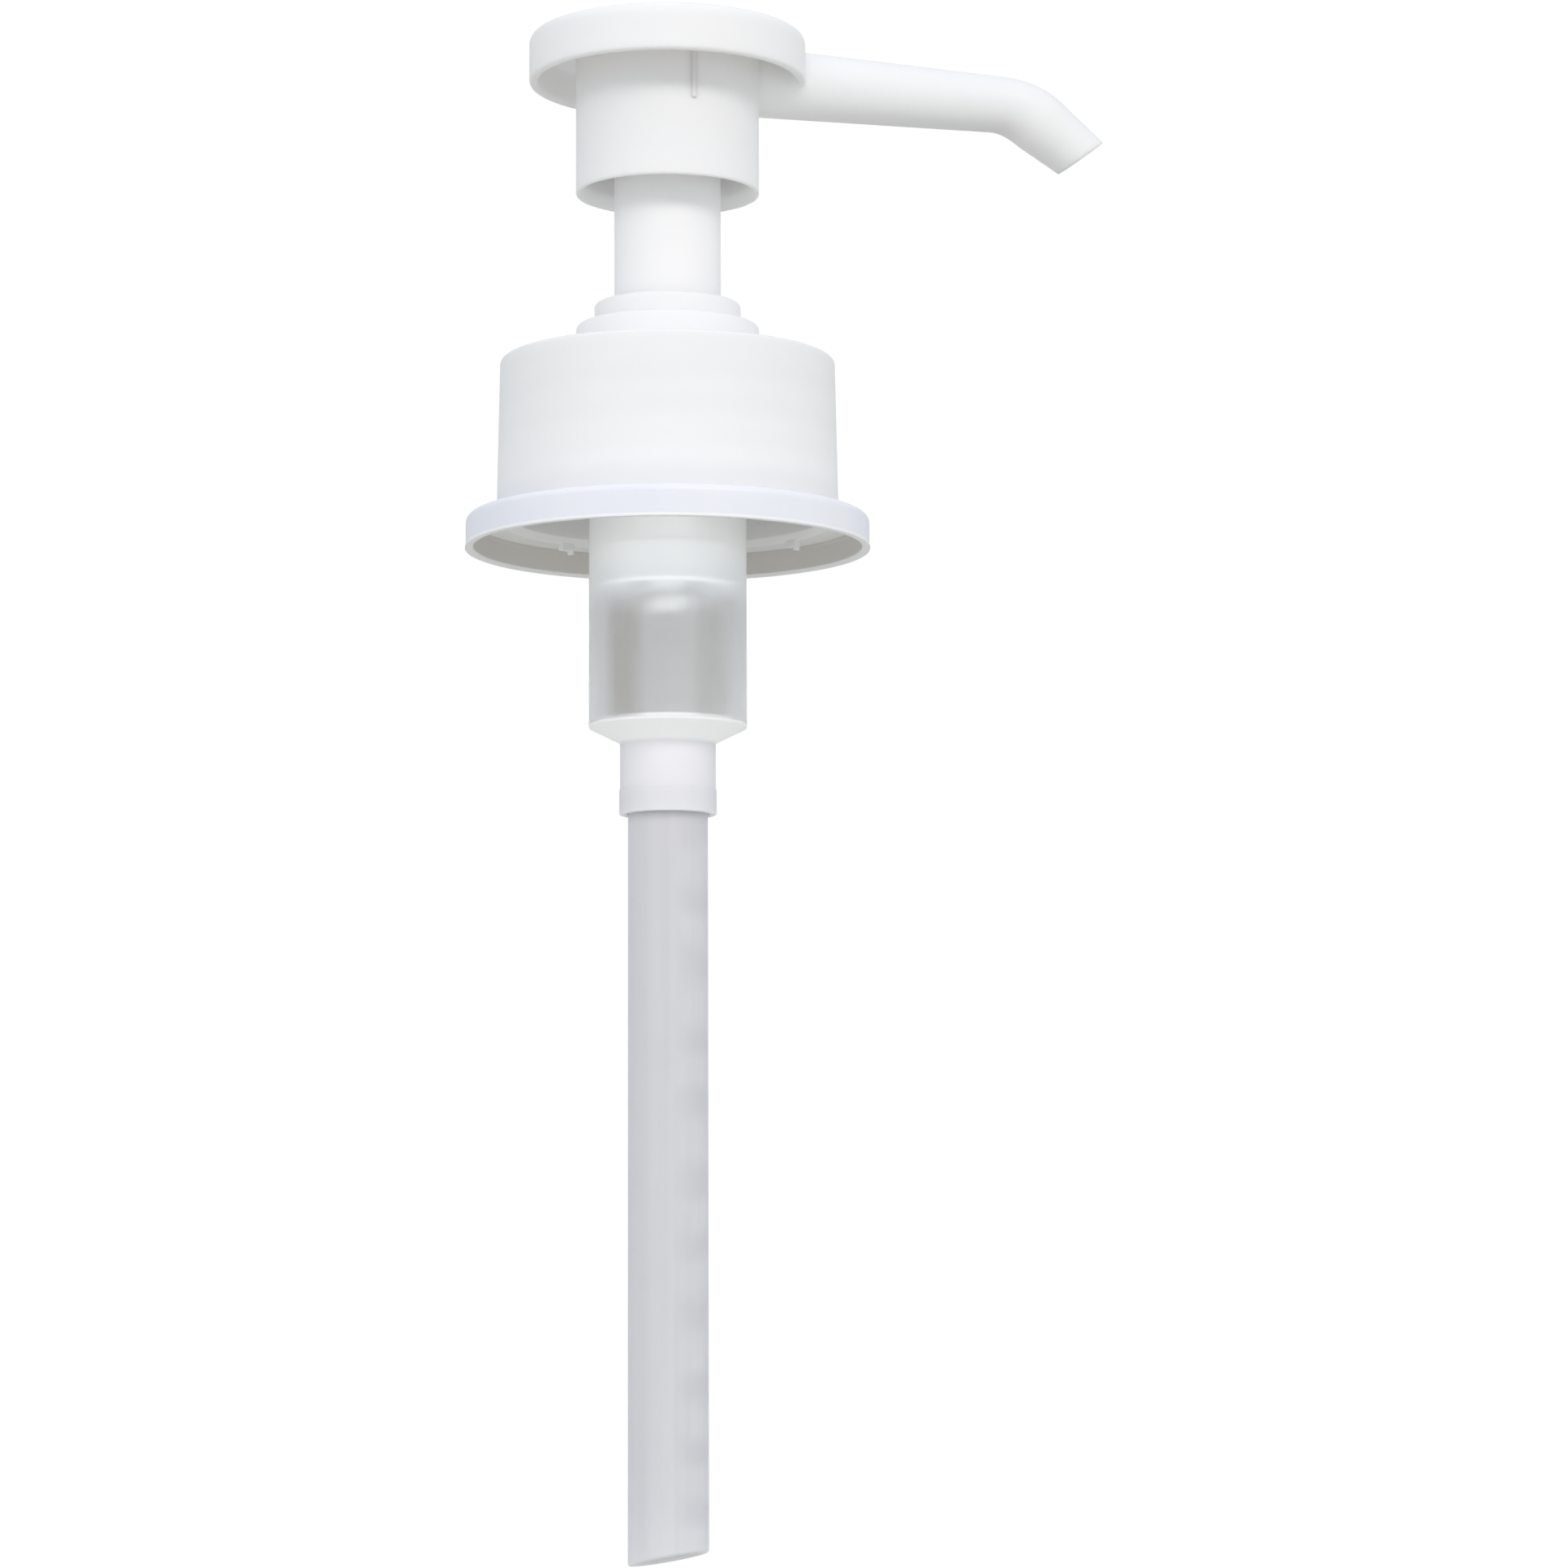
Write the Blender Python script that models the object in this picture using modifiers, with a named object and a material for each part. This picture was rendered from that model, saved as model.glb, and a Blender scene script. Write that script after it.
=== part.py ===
"""Condiment pump dispenser: a hand pump that screws onto a wide bottle neck.

World frame in metres, +Z up.  The origin is the centre of the neck gasket's
underside, on the pump axis, so the bottle's mouth lies in the plane z = 0.
The spout points along +X.  The dimensions below are in millimetres.
"""
import math

import bmesh
import bpy
from mathutils import Matrix, Vector

MM = 0.001

# ---------------------------------------------------------------- dimensions
# actuator head: thumb disc, collar, spout
DISC_R = 17.3
DISC_TOP_Z = 45.9
DISC_RIM_Z = 39.84
DISC_WALL = 1.1
DISC_PLATE = 1.5
DISC_EDGE_R = 1.1
COLLAR_R = 11.44
COLLAR_BORE_R = 10.2
COLLAR_Z = 25.62
COLLAR_LIP = 0.35          # flat width of the collar's mouth
COLLAR_FLARE = 1.6         # height of the taper inside the mouth
SOCKET_R = 8.3
SOCKET_Z = 30.0
RIB_WIDTH = 0.5
RIB_PROUD = 0.25
RIB_BOTTOM_Z = 35.4
SPOUT_START_X = 7.5        # inside the stem socket's wall
SPOUT_Z18 = 40.99          # centreline height at x = 18.7
SPOUT_R18 = 4.24           # outer radius at x = 18.7
SPOUT_X18 = 18.7
SPOUT_DROP = 0.0119        # fall of the centreline per mm
SPOUT_TAPER = 0.0251       # loss of radius per mm
BEND_X = 43.4
BEND_R = 10.8
BEND_DEG = 35.5
BEND_END_R = 3.95
TIP_RUN = 7.24             # straight run after the bend, to the cut
TIP_R = 3.37
TIP_CUT_DEG = 52.9         # the cut's normal, below the horizontal
SPOUT_BORE_R = 2.5
TIP_BORE_R = 2.15

# stem and piston assembly
STEM_R = 6.64
STEM_BORE_R = 5.2
STEM_TOP_Z = 38.0
STEM_BOTTOM_Z = -10.7
ROD_R = 5.05
ROD_TOP_Z = 6.0
ROD_SHOULDER_Z = -20.1
ROD_BORE_R = 2.1
ROD_STOP_R = 8.0
ROD_STOP_TOP_Z = -10.9
ROD_STOP_BOTTOM_Z = -12.4
ROD_RIB_R = 5.9
NUB_R = 3.0
NUB_Z = -27.3
PISTON_R = 8.72
PISTON_TOP_Z = -18.74
PISTON_BOTTOM_Z = -24.19
OUTLET_BALL_R = 2.4
OUTLET_BALL_Z = 0.936

# cylinder, bush, nut
CYL_R = 9.75
CYL_BORE_R = 8.85
CYL_BOTTOM_Z = -40.9
CYL_TOP_Z = 6.6
FLANGE_R = 17.6
FLANGE_Z = (1.25, 2.75)
GASKET_R = (10.0, 17.8)
GASKET_TOP_Z = 1.1
BUSH_R = 8.7
BUSH_BORE_R = 6.8
BUSH_FLANGE_R = 9.1
BUSH_TOP_Z = 11.68
BUSH_FLANGE_Z = 9.1
BUSH_BOTTOM_Z = -10.6
NUT_R = 11.4
NUT_TOP_Z = 8.95
NUT_BOTTOM_Z = 4.75

# closure: 38 mm finish, six turns to the inch
CAP_TOP_R = 20.8
CAP_BOTTOM_R = 21.2
CAP_TOP_Z = 4.48
CAP_EDGE_R = 0.5
CAP_PLATE_Z = 2.9
CAP_HOLE_R = 10.1
CAP_BORE_R = 19.05
CAP_STEP_Z = -12.2
CAP_STEP_R = 20.4
CAP_BOTTOM_Z = -14.95
THREAD_PITCH = 4.233
THREAD_CREST_R = 18.05
THREAD_TURNS = 1.5
THREAD_START_Z = -3.0
SKIRT_R = 25.0
SKIRT_LIP_R = 25.1
SKIRT_BORE_R = 24.0
SKIRT_TOP_Z = -15.08
SKIRT_PLATE_Z = -16.0
SKIRT_BOTTOM_Z = -19.11
SKIRT_SPIGOT_R = (19.3, 20.25)
SKIRT_SPIGOT_Z = -12.5
LUG_AZIMUTH = 22.5
LUG_WIDTH = 1.9
LUG_HEIGHT = 1.1

# foot valve, spring, dip tube
FOOT_R = 9.75
FOOT_EDGE_Z = (-41.05, -41.4)
FOOT_NECK_R = 5.9
FOOT_CONE_Z = -43.3
FOOT_SOCKET_R = 6.0
FOOT_SOCKET_Z = -49.0
FOOT_BOTTOM_Z = -52.2
FOOT_SPIGOT_R = 8.7
FOOT_SPIGOT_Z = -40.55      # a low ring that centres the foot in the cylinder
FOOT_FLOOR_Z = -41.05
WELL_R = 4.6
WELL_Z = -43.65
CHAMBER_R = 3.0
SEAT_TOP_Z = -46.8
SEAT_R = 1.2
SEAT_BOTTOM_Z = -48.6
TUBE_SOCKET_Z = -49.4
TUBE_SOCKET_R = 5.02
INLET_BALL_R = 2.0
INLET_BALL_Z = -46.83
CAGE_R = 4.45
CAGE_Z = (-43.5, -42.6)
SPRING_WIRE_R = 0.3
SPRING_R = 3.6
SPRING_TOP_Z = -20.3
SPRING_BOTTOM_Z = -42.4
SPRING_COILS = 9.0
TUBE_R = 4.92
TUBE_BORE_R = 3.9
TUBE_TOP_Z = -49.6
TUBE_CUT_Z = -142.8
TUBE_CUT_SLOPE = 0.205     # rise of the slanted cut per mm
TUBE_CUT_AZIMUTH = -50.0   # direction in which the cut rises

# segments round a full turn
SEG_LARGE = 40
SEG_MID = 32
SEG_SMALL = 24


# ------------------------------------------------------------------- helpers
def clear_scene():
    for obj in list(bpy.data.objects):
        bpy.data.objects.remove(obj, do_unlink=True)
    for group in (bpy.data.meshes, bpy.data.curves, bpy.data.materials,
                  bpy.data.collections):
        for block in list(group):
            group.remove(block)


def new_collection(name):
    col = bpy.data.collections.new(name)
    bpy.context.scene.collection.children.link(col)
    return col


def new_material(name, rgb, roughness, metallic=0.0, transmission=0.0,
                 alpha=1.0):
    mat = bpy.data.materials.new(name)
    mat.use_nodes = True
    bsdf = mat.node_tree.nodes["Principled BSDF"]
    bsdf.inputs["Base Color"].default_value = (*rgb, 1.0)
    bsdf.inputs["Roughness"].default_value = roughness
    bsdf.inputs["Metallic"].default_value = metallic
    bsdf.inputs["Transmission Weight"].default_value = transmission
    bsdf.inputs["Alpha"].default_value = alpha
    mat.diffuse_color = (*rgb, alpha)
    return mat


def link(obj, col, material=None):
    col.objects.link(obj)
    if material is not None:
        obj.data.materials.append(material)
    return obj


def turned(name, profile, segments, col, material=None, loop=True,
           origin_z=0.0):
    """A body of revolution about Z.

    profile lists (r, z) in mm, running down the outer side.  A loop closes on
    itself, an open profile starts and ends on the axis.  origin_z is the
    height of the object's own origin.
    """
    verts = [(r * MM, 0.0, (z - origin_z) * MM) for r, z in profile]
    edges = [(i, i + 1) for i in range(len(verts) - 1)]
    if loop:
        edges.append((len(verts) - 1, 0))
    mesh = bpy.data.meshes.new(name)
    mesh.from_pydata(verts, edges, [])
    obj = link(bpy.data.objects.new(name, mesh), col, material)
    obj.location.z = origin_z * MM
    screw = obj.modifiers.new("Turn", 'SCREW')
    screw.axis = 'Z'
    screw.angle = 2 * math.pi
    screw.steps = segments
    screw.render_steps = segments
    screw.use_merge_vertices = True
    screw.merge_threshold = 0.00001
    screw.use_smooth_shade = True
    return obj


def fillet(r, z, radius, start_deg, end_deg, steps):
    """Points of an arc about (r, z) in the profile plane, degrees from +R."""
    points = []
    for i in range(steps + 1):
        a = math.radians(start_deg + (end_deg - start_deg) * i / steps)
        points.append((r + radius * math.cos(a), z + radius * math.sin(a)))
    return points


def boolean(obj, cutter, operation='DIFFERENCE'):
    mod = obj.modifiers.new(operation.title(), 'BOOLEAN')
    mod.operation = operation
    mod.object = cutter
    mod.solver = 'EXACT'
    return mod


def as_cutter(obj):
    obj.hide_render = True
    obj.display_type = 'WIRE'
    return obj


def block(name, size, location, col, rotation_z=0.0, material=None):
    """A box from a cube primitive: size and location in mm."""
    mesh = bpy.data.meshes.new(name)
    bm = bmesh.new()
    bmesh.ops.create_cube(bm, size=1.0)
    bmesh.ops.scale(bm, vec=Vector(size) * MM, verts=bm.verts)
    bm.to_mesh(mesh)
    bm.free()
    obj = link(bpy.data.objects.new(name, mesh), col, material)
    obj.location = Vector(location) * MM
    obj.rotation_euler.z = rotation_z
    return obj


def peg(name, radius, depth, location, segments, col):
    """A cylinder primitive along Z, centred at location (mm)."""
    mesh = bpy.data.meshes.new(name)
    bm = bmesh.new()
    bmesh.ops.create_cone(bm, cap_ends=True, cap_tris=False,
                          segments=segments, radius1=radius * MM,
                          radius2=radius * MM, depth=depth * MM)
    bm.to_mesh(mesh)
    bm.free()
    obj = link(bpy.data.objects.new(name, mesh), col)
    obj.location = Vector(location) * MM
    return obj


def swept(name, points, radii, sides, col, material=None):
    """A round bar along points (mm) with a radius at each, as a mesh."""
    curve = bpy.data.curves.new(name + "_path", 'CURVE')
    curve.dimensions = '3D'
    curve.bevel_depth = MM
    curve.bevel_resolution = (sides - 4) // 2
    curve.use_fill_caps = True
    spline = curve.splines.new('POLY')
    spline.points.add(len(points) - 1)
    for point, co, radius in zip(spline.points, points, radii):
        point.co = (co[0] * MM, co[1] * MM, co[2] * MM, 1.0)
        point.radius = radius
    path = link(bpy.data.objects.new(name + "_path", curve), col)
    bpy.context.view_layer.update()
    depsgraph = bpy.context.evaluated_depsgraph_get()
    mesh = bpy.data.meshes.new_from_object(path.evaluated_get(depsgraph))
    matrix = path.matrix_world.copy()
    bpy.data.objects.remove(path, do_unlink=True)
    bpy.data.curves.remove(curve)
    bm = bmesh.new()
    bm.from_mesh(mesh)
    bmesh.ops.remove_doubles(bm, verts=bm.verts, dist=0.000005)
    bmesh.ops.recalc_face_normals(bm, faces=bm.faces)
    bm.to_mesh(mesh)
    bm.free()
    mesh.name = name
    mesh.shade_smooth()
    mesh.set_sharp_from_angle(angle=math.radians(40))
    mesh.materials.clear()
    obj = link(bpy.data.objects.new(name, mesh), col, material)
    obj.matrix_world = matrix
    return obj


def parent_to(axis, *objects):
    for obj in objects:
        obj.parent = axis


def axis_empty(name, location, col):
    empty = bpy.data.objects.new(name, None)
    empty.empty_display_size = 0.01
    empty.location = Vector(location) * MM
    col.objects.link(empty)
    return empty


# ------------------------------------------------------------ actuator head
def spout_line():
    """Centreline points of the spout in the XZ plane, and its outer radii."""
    points, radii = [], []
    for x in (SPOUT_START_X, SPOUT_X18, 31.0, BEND_X):
        points.append((x, 0.0, SPOUT_Z18 - SPOUT_DROP * (x - SPOUT_X18)))
        radii.append(SPOUT_R18 - SPOUT_TAPER * (x - SPOUT_X18))
    start_z = points[-1][2]
    start_r = radii[-1]
    steps = 7
    for i in range(1, steps + 1):
        a = math.radians(BEND_DEG) * i / steps
        points.append((BEND_X + BEND_R * math.sin(a), 0.0,
                       start_z - BEND_R * (1 - math.cos(a))))
        radii.append(start_r + (BEND_END_R - start_r) * i / steps)
    a = math.radians(BEND_DEG)
    x, _, z = points[-1]
    for run in (TIP_RUN, TIP_RUN + 5.0):
        points.append((x + run * math.cos(a), 0.0, z - run * math.sin(a)))
        radii.append(BEND_END_R + (TIP_R - BEND_END_R) * run / TIP_RUN)
    return points, radii


def build_head(parts, cutters, material):
    plate_z = DISC_TOP_Z - DISC_PLATE
    chamber_top = 43.4
    profile = [(0.0, DISC_TOP_Z)]
    profile += fillet(DISC_R - DISC_EDGE_R, DISC_TOP_Z - DISC_EDGE_R,
                      DISC_EDGE_R, 90, 0, 4)
    profile += [
        (DISC_R, DISC_RIM_Z), (DISC_R - DISC_WALL, DISC_RIM_Z),
        (DISC_R - DISC_WALL - 0.15, plate_z),
        (COLLAR_R, plate_z), (COLLAR_R, COLLAR_Z),
        (COLLAR_R - COLLAR_LIP, COLLAR_Z),
        (COLLAR_BORE_R, COLLAR_Z + COLLAR_FLARE),
        (COLLAR_BORE_R - 0.15, plate_z),
        (SOCKET_R + 0.1, plate_z), (SOCKET_R, SOCKET_Z),
        (STEM_R + 0.4, SOCKET_Z), (STEM_R + 0.11, SOCKET_Z + 0.6),
        (STEM_R + 0.11, STEM_TOP_Z + 0.15), (5.0, STEM_TOP_Z + 0.15),
        (5.0, chamber_top), (0.0, chamber_top)]
    head = turned("actuator_head", profile, SEG_MID, parts, material,
                  loop=False, origin_z=COLLAR_Z)

    points, radii = spout_line()
    arm = as_cutter(swept("spout_arm", points, radii, 20, cutters))
    boolean(head, arm, 'UNION')
    for side in (-1, 1):
        rib = as_cutter(block(
            "collar_rib_%s" % ("front" if side < 0 else "back"),
            (RIB_WIDTH, 1.0, plate_z + 0.5 - RIB_BOTTOM_Z),
            (0.0, side * (COLLAR_R + RIB_PROUD - 0.5),
             (plate_z + 0.5 + RIB_BOTTOM_Z) / 2), cutters))
        boolean(head, rib, 'UNION')

    bore_radii = []
    for i in range(len(points)):
        t = i / (len(points) - 1)
        bore_radii.append(SPOUT_BORE_R + (TIP_BORE_R - SPOUT_BORE_R) * t)
    bore = as_cutter(swept("spout_bore", [(2.0, 0.0, points[0][2])] + points[1:],
                           bore_radii, 14, cutters))
    boolean(head, bore)
    # the stem's chamber stays open where the arm runs into the socket
    chamber = as_cutter(peg("head_chamber", 5.0, chamber_top - STEM_TOP_Z + 1.0,
                            (0.0, 0.0, (chamber_top + STEM_TOP_Z - 1.0) / 2),
                            SEG_MID, cutters))
    boolean(head, chamber)

    # slanted cut across the spout's tip
    a = math.radians(BEND_DEG)
    end = points[-3]
    tip = Vector((end[0] + TIP_RUN * math.cos(a), 0.0,
                  end[2] - TIP_RUN * math.sin(a)))
    normal = Vector((math.cos(math.radians(TIP_CUT_DEG)), 0.0,
                     -math.sin(math.radians(TIP_CUT_DEG))))
    cut = as_cutter(block("tip_cut", (14.0, 14.0, 14.0),
                          tip + normal * 7.0, cutters))
    cut.rotation_euler = (0.0, math.radians(TIP_CUT_DEG), 0.0)
    boolean(head, cut)
    return head


# --------------------------------------------------------- plunger assembly
def build_stem(parts, material):
    profile = [
        (STEM_BORE_R + 0.3, STEM_TOP_Z), (STEM_R - 0.35, STEM_TOP_Z),
        (STEM_R, STEM_TOP_Z - 0.35), (STEM_R, STEM_BOTTOM_Z),
        (STEM_BORE_R, STEM_BOTTOM_Z), (STEM_BORE_R, STEM_TOP_Z - 0.3)]
    return turned("stem", profile, SEG_MID, parts, material,
                  origin_z=STEM_BOTTOM_Z)


def build_rod(parts, material):
    seat_r = 1.6
    seat_z = -1.0
    profile = [
        (3.2, ROD_TOP_Z), (ROD_R - 0.3, ROD_TOP_Z), (ROD_R, ROD_TOP_Z - 0.3),
        (ROD_R, ROD_STOP_TOP_Z), (ROD_STOP_R, ROD_STOP_TOP_Z),
        (ROD_STOP_R, ROD_STOP_BOTTOM_Z), (ROD_R, ROD_STOP_BOTTOM_Z),
        (ROD_R, -17.9), (ROD_RIB_R, -18.1), (ROD_RIB_R, -18.55),
        (ROD_R - 0.05, -18.6), (ROD_R - 0.05, ROD_SHOULDER_Z),
        (NUB_R, ROD_SHOULDER_Z), (NUB_R, NUB_Z + 0.5), (NUB_R - 0.5, NUB_Z),
        (ROD_BORE_R, NUB_Z), (ROD_BORE_R, -3.0), (seat_r, -3.5),
        (seat_r, seat_z), (3.2, seat_z + 3.2 - seat_r)]
    return turned("piston_rod", profile, SEG_SMALL, parts, material,
                  origin_z=ROD_SHOULDER_Z)


def build_piston(parts, material):
    hub_r = 6.3
    bore_r = ROD_R + 0.1
    lip_r = PISTON_R - 0.85
    profile = [
        (PISTON_R - 0.25, PISTON_TOP_Z), (PISTON_R, PISTON_TOP_Z - 0.4),
        (PISTON_R - 0.12, PISTON_TOP_Z - 1.6),
        (PISTON_R - 0.12, PISTON_BOTTOM_Z + 1.6),
        (PISTON_R, PISTON_BOTTOM_Z + 0.4), (PISTON_R - 0.25, PISTON_BOTTOM_Z),
        (lip_r, PISTON_BOTTOM_Z), (lip_r - 0.2, -22.3), (hub_r, -22.3),
        (hub_r, -22.9), (bore_r, -22.9), (bore_r, PISTON_TOP_Z),
        (hub_r, PISTON_TOP_Z), (hub_r, -20.6), (lip_r - 0.2, -20.6),
        (lip_r, PISTON_TOP_Z)]
    return turned("piston_seal", profile, SEG_MID, parts, material,
                  origin_z=PISTON_BOTTOM_Z)


def ball(name, radius, z, col, material):
    mesh = bpy.data.meshes.new(name)
    bm = bmesh.new()
    bmesh.ops.create_uvsphere(bm, u_segments=12, v_segments=8,
                              radius=radius * MM)
    bm.to_mesh(mesh)
    bm.free()
    mesh.shade_smooth()
    obj = link(bpy.data.objects.new(name, mesh), col, material)
    obj.location = (0.0, 0.0, z * MM)
    return obj


def pierced_disc(name, radius, z_low, z_high, hole_r, ring_r, holes, parts,
                 cutters, material):
    """A flow disc: a centre hole and a ring of round ports."""
    disc = turned(name, [(hole_r, z_high), (radius, z_high), (radius, z_low),
                         (hole_r, z_low)], SEG_SMALL, parts, material,
                  origin_z=z_low)
    middle = (z_low + z_high) / 2
    mesh = bpy.data.meshes.new(name + "_ports")
    bm = bmesh.new()
    for i in range(holes):
        a = 2 * math.pi * (i + 0.5) / holes + 0.03
        bmesh.ops.create_cone(
            bm, cap_ends=True, cap_tris=False, segments=10,
            radius1=0.75 * MM, radius2=0.75 * MM,
            depth=(z_high - z_low + 1.0) * MM,
            matrix=Matrix.Translation((ring_r * MM * math.cos(a),
                                       ring_r * MM * math.sin(a),
                                       middle * MM)))
    bm.to_mesh(mesh)
    bm.free()
    ports = as_cutter(link(bpy.data.objects.new(name + "_ports", mesh),
                           cutters))
    boolean(disc, ports)
    return disc


# ------------------------------------------------------------------ housing
def build_bush(parts, material):
    profile = [
        (8.0, BUSH_TOP_Z), (BUSH_FLANGE_R - 0.35, BUSH_TOP_Z),
        (BUSH_FLANGE_R, BUSH_TOP_Z - 0.35),
        (BUSH_FLANGE_R, BUSH_FLANGE_Z), (BUSH_R, BUSH_FLANGE_Z),
        (BUSH_R, BUSH_BOTTOM_Z + 0.4), (BUSH_R - 0.4, BUSH_BOTTOM_Z),
        (BUSH_BORE_R + 0.2, BUSH_BOTTOM_Z), (BUSH_BORE_R, BUSH_BOTTOM_Z + 0.5),
        (BUSH_BORE_R, BUSH_TOP_Z - 1.5), (8.0, BUSH_TOP_Z - 1.5)]
    return turned("guide_bush", profile, SEG_MID, parts, material,
                  origin_z=BUSH_FLANGE_Z)


def build_wiper(parts, material):
    top = BUSH_TOP_Z - 0.18
    low = BUSH_TOP_Z - 1.38
    profile = [
        (STEM_R + 0.35, top), (7.85, top), (7.85, low), (STEM_R + 0.45, low),
        (STEM_R + 0.1, low + 0.35), (STEM_R + 0.1, top - 0.35)]
    return turned("stem_wiper", profile, SEG_MID, parts, material,
                  origin_z=low)


def build_nut(parts, material):
    profile = [
        (BUSH_R + 0.15, NUT_TOP_Z), (NUT_R - 0.5, NUT_TOP_Z),
        (NUT_R - 0.12, NUT_TOP_Z - 0.15), (NUT_R, NUT_TOP_Z - 0.55),
        (NUT_R, NUT_BOTTOM_Z), (CYL_R + 0.15, NUT_BOTTOM_Z),
        (CYL_R + 0.15, CYL_TOP_Z + 0.2), (BUSH_R + 0.15, CYL_TOP_Z + 0.2)]
    return turned("retaining_nut", profile, SEG_MID, parts, material,
                  origin_z=NUT_BOTTOM_Z)


def build_cylinder(parts, material):
    low, high = FLANGE_Z
    profile = [
        (CYL_BORE_R, CYL_TOP_Z), (CYL_R, CYL_TOP_Z), (CYL_R, high),
        (FLANGE_R, high), (FLANGE_R, low), (CYL_R, low),
        (CYL_R, CYL_BOTTOM_Z), (CYL_BORE_R, CYL_BOTTOM_Z)]
    return turned("cylinder", profile, SEG_MID, parts, material,
                  origin_z=CYL_BOTTOM_Z)


def build_gasket(parts, material):
    inner, outer = GASKET_R
    return turned("neck_gasket", [(inner, GASKET_TOP_Z), (outer, GASKET_TOP_Z),
                                  (outer, 0.0), (inner, 0.0)],
                  SEG_MID, parts, material)


def build_foot(parts, material):
    edge_top, edge_low = FOOT_EDGE_Z
    profile = [
        (FOOT_SPIGOT_R - 0.8, FOOT_SPIGOT_Z), (FOOT_SPIGOT_R, FOOT_SPIGOT_Z),
        (FOOT_SPIGOT_R, edge_top),
        (FOOT_R, edge_top), (FOOT_R, edge_low), (FOOT_NECK_R, FOOT_CONE_Z),
        (FOOT_NECK_R, FOOT_SOCKET_Z), (FOOT_SOCKET_R, FOOT_SOCKET_Z - 0.05),
        (FOOT_SOCKET_R, FOOT_BOTTOM_Z + 0.15),
        (FOOT_SOCKET_R - 0.15, FOOT_BOTTOM_Z),
        (TUBE_SOCKET_R + 0.15, FOOT_BOTTOM_Z),
        (TUBE_SOCKET_R, FOOT_BOTTOM_Z + 0.3), (TUBE_SOCKET_R, TUBE_SOCKET_Z),
        (SEAT_R, TUBE_SOCKET_Z), (SEAT_R, SEAT_BOTTOM_Z),
        (CHAMBER_R, SEAT_TOP_Z), (CHAMBER_R, WELL_Z), (WELL_R, WELL_Z),
        (WELL_R, FOOT_FLOOR_Z), (FOOT_SPIGOT_R - 0.8, FOOT_FLOOR_Z)]
    return turned("foot_valve_housing", profile, SEG_MID, parts, material,
                  origin_z=FOOT_EDGE_Z[0])


def build_dip_tube(parts, cutters, material):
    low = TUBE_CUT_Z - 4.0
    profile = [(TUBE_BORE_R, TUBE_TOP_Z), (TUBE_R, TUBE_TOP_Z),
               (TUBE_R, low), (TUBE_BORE_R, low)]
    tube = turned("dip_tube", profile, SEG_MID, parts, material,
                  origin_z=TUBE_TOP_Z)
    tilt = math.atan(TUBE_CUT_SLOPE)
    cut = as_cutter(block("tube_cut", (40.0, 40.0, 20.0), (0.0, 0.0, 0.0),
                          cutters))
    cut.matrix_world = (
        Matrix.Translation((0.0, 0.0, TUBE_CUT_Z * MM))
        @ Matrix.Rotation(math.radians(TUBE_CUT_AZIMUTH), 4, 'Z')
        @ Matrix.Rotation(-tilt, 4, 'Y')
        @ Matrix.Translation((0.0, 0.0, -10.0 * MM)))
    boolean(tube, cut)
    return tube


def build_spring(parts, material):
    """A compression coil with closed ends: the pitch eases in and out."""
    per_turn = 10
    total = int(SPRING_COILS * per_turn)
    low = SPRING_BOTTOM_Z + SPRING_WIRE_R
    high = SPRING_TOP_Z - SPRING_WIRE_R
    closed = 2.0 * SPRING_WIRE_R + 0.12     # pitch of the end coils
    active = SPRING_COILS - 2.0
    pitch = (high - low - 2.0 * closed) / active
    points = []
    for i in range(total + 1):
        turn = i / per_turn
        if turn < 1.0:
            z = low + closed * turn
        elif turn > SPRING_COILS - 1.0:
            z = high - closed * (SPRING_COILS - turn)
        else:
            z = low + closed + pitch * (turn - 1.0)
        a = 2 * math.pi * turn
        points.append((SPRING_R * math.cos(a), SPRING_R * math.sin(a), z))
    return swept("return_spring", points, [SPRING_WIRE_R] * len(points), 6,
                 parts, material)


# ------------------------------------------------------------------ closure
def build_thread(cutters):
    """The cap's internal thread: a helical ridge to be joined to the wall."""
    base_r = CAP_BORE_R + 0.25
    verts = [(base_r * MM, 0.0, 1.25 * MM), (THREAD_CREST_R * MM, 0.0, 0.35 * MM),
             (THREAD_CREST_R * MM, 0.0, -0.35 * MM), (base_r * MM, 0.0, -1.25 * MM)]
    mesh = bpy.data.meshes.new("cap_thread_profile")
    mesh.from_pydata(verts, [(0, 1), (1, 2), (2, 3), (3, 0)], [])
    guide = link(bpy.data.objects.new("cap_thread_profile", mesh), cutters)
    screw = guide.modifiers.new("Helix", 'SCREW')
    screw.axis = 'Z'
    screw.angle = 2 * math.pi * THREAD_TURNS
    screw.screw_offset = -THREAD_PITCH * THREAD_TURNS * MM
    screw.steps = int(SEG_MID * THREAD_TURNS)
    screw.render_steps = screw.steps
    screw.merge_threshold = 0.00001
    bpy.context.view_layer.update()
    depsgraph = bpy.context.evaluated_depsgraph_get()
    helix = bpy.data.meshes.new_from_object(guide.evaluated_get(depsgraph))
    bpy.data.objects.remove(guide, do_unlink=True)
    bm = bmesh.new()
    bm.from_mesh(helix)
    bmesh.ops.holes_fill(bm, edges=[e for e in bm.edges if e.is_boundary],
                         sides=0)
    bmesh.ops.recalc_face_normals(bm, faces=bm.faces)
    bm.to_mesh(helix)
    bm.free()
    helix.name = "cap_thread"
    thread = link(bpy.data.objects.new("cap_thread", helix), cutters)
    thread.location.z = THREAD_START_Z * MM
    return as_cutter(thread)


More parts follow.
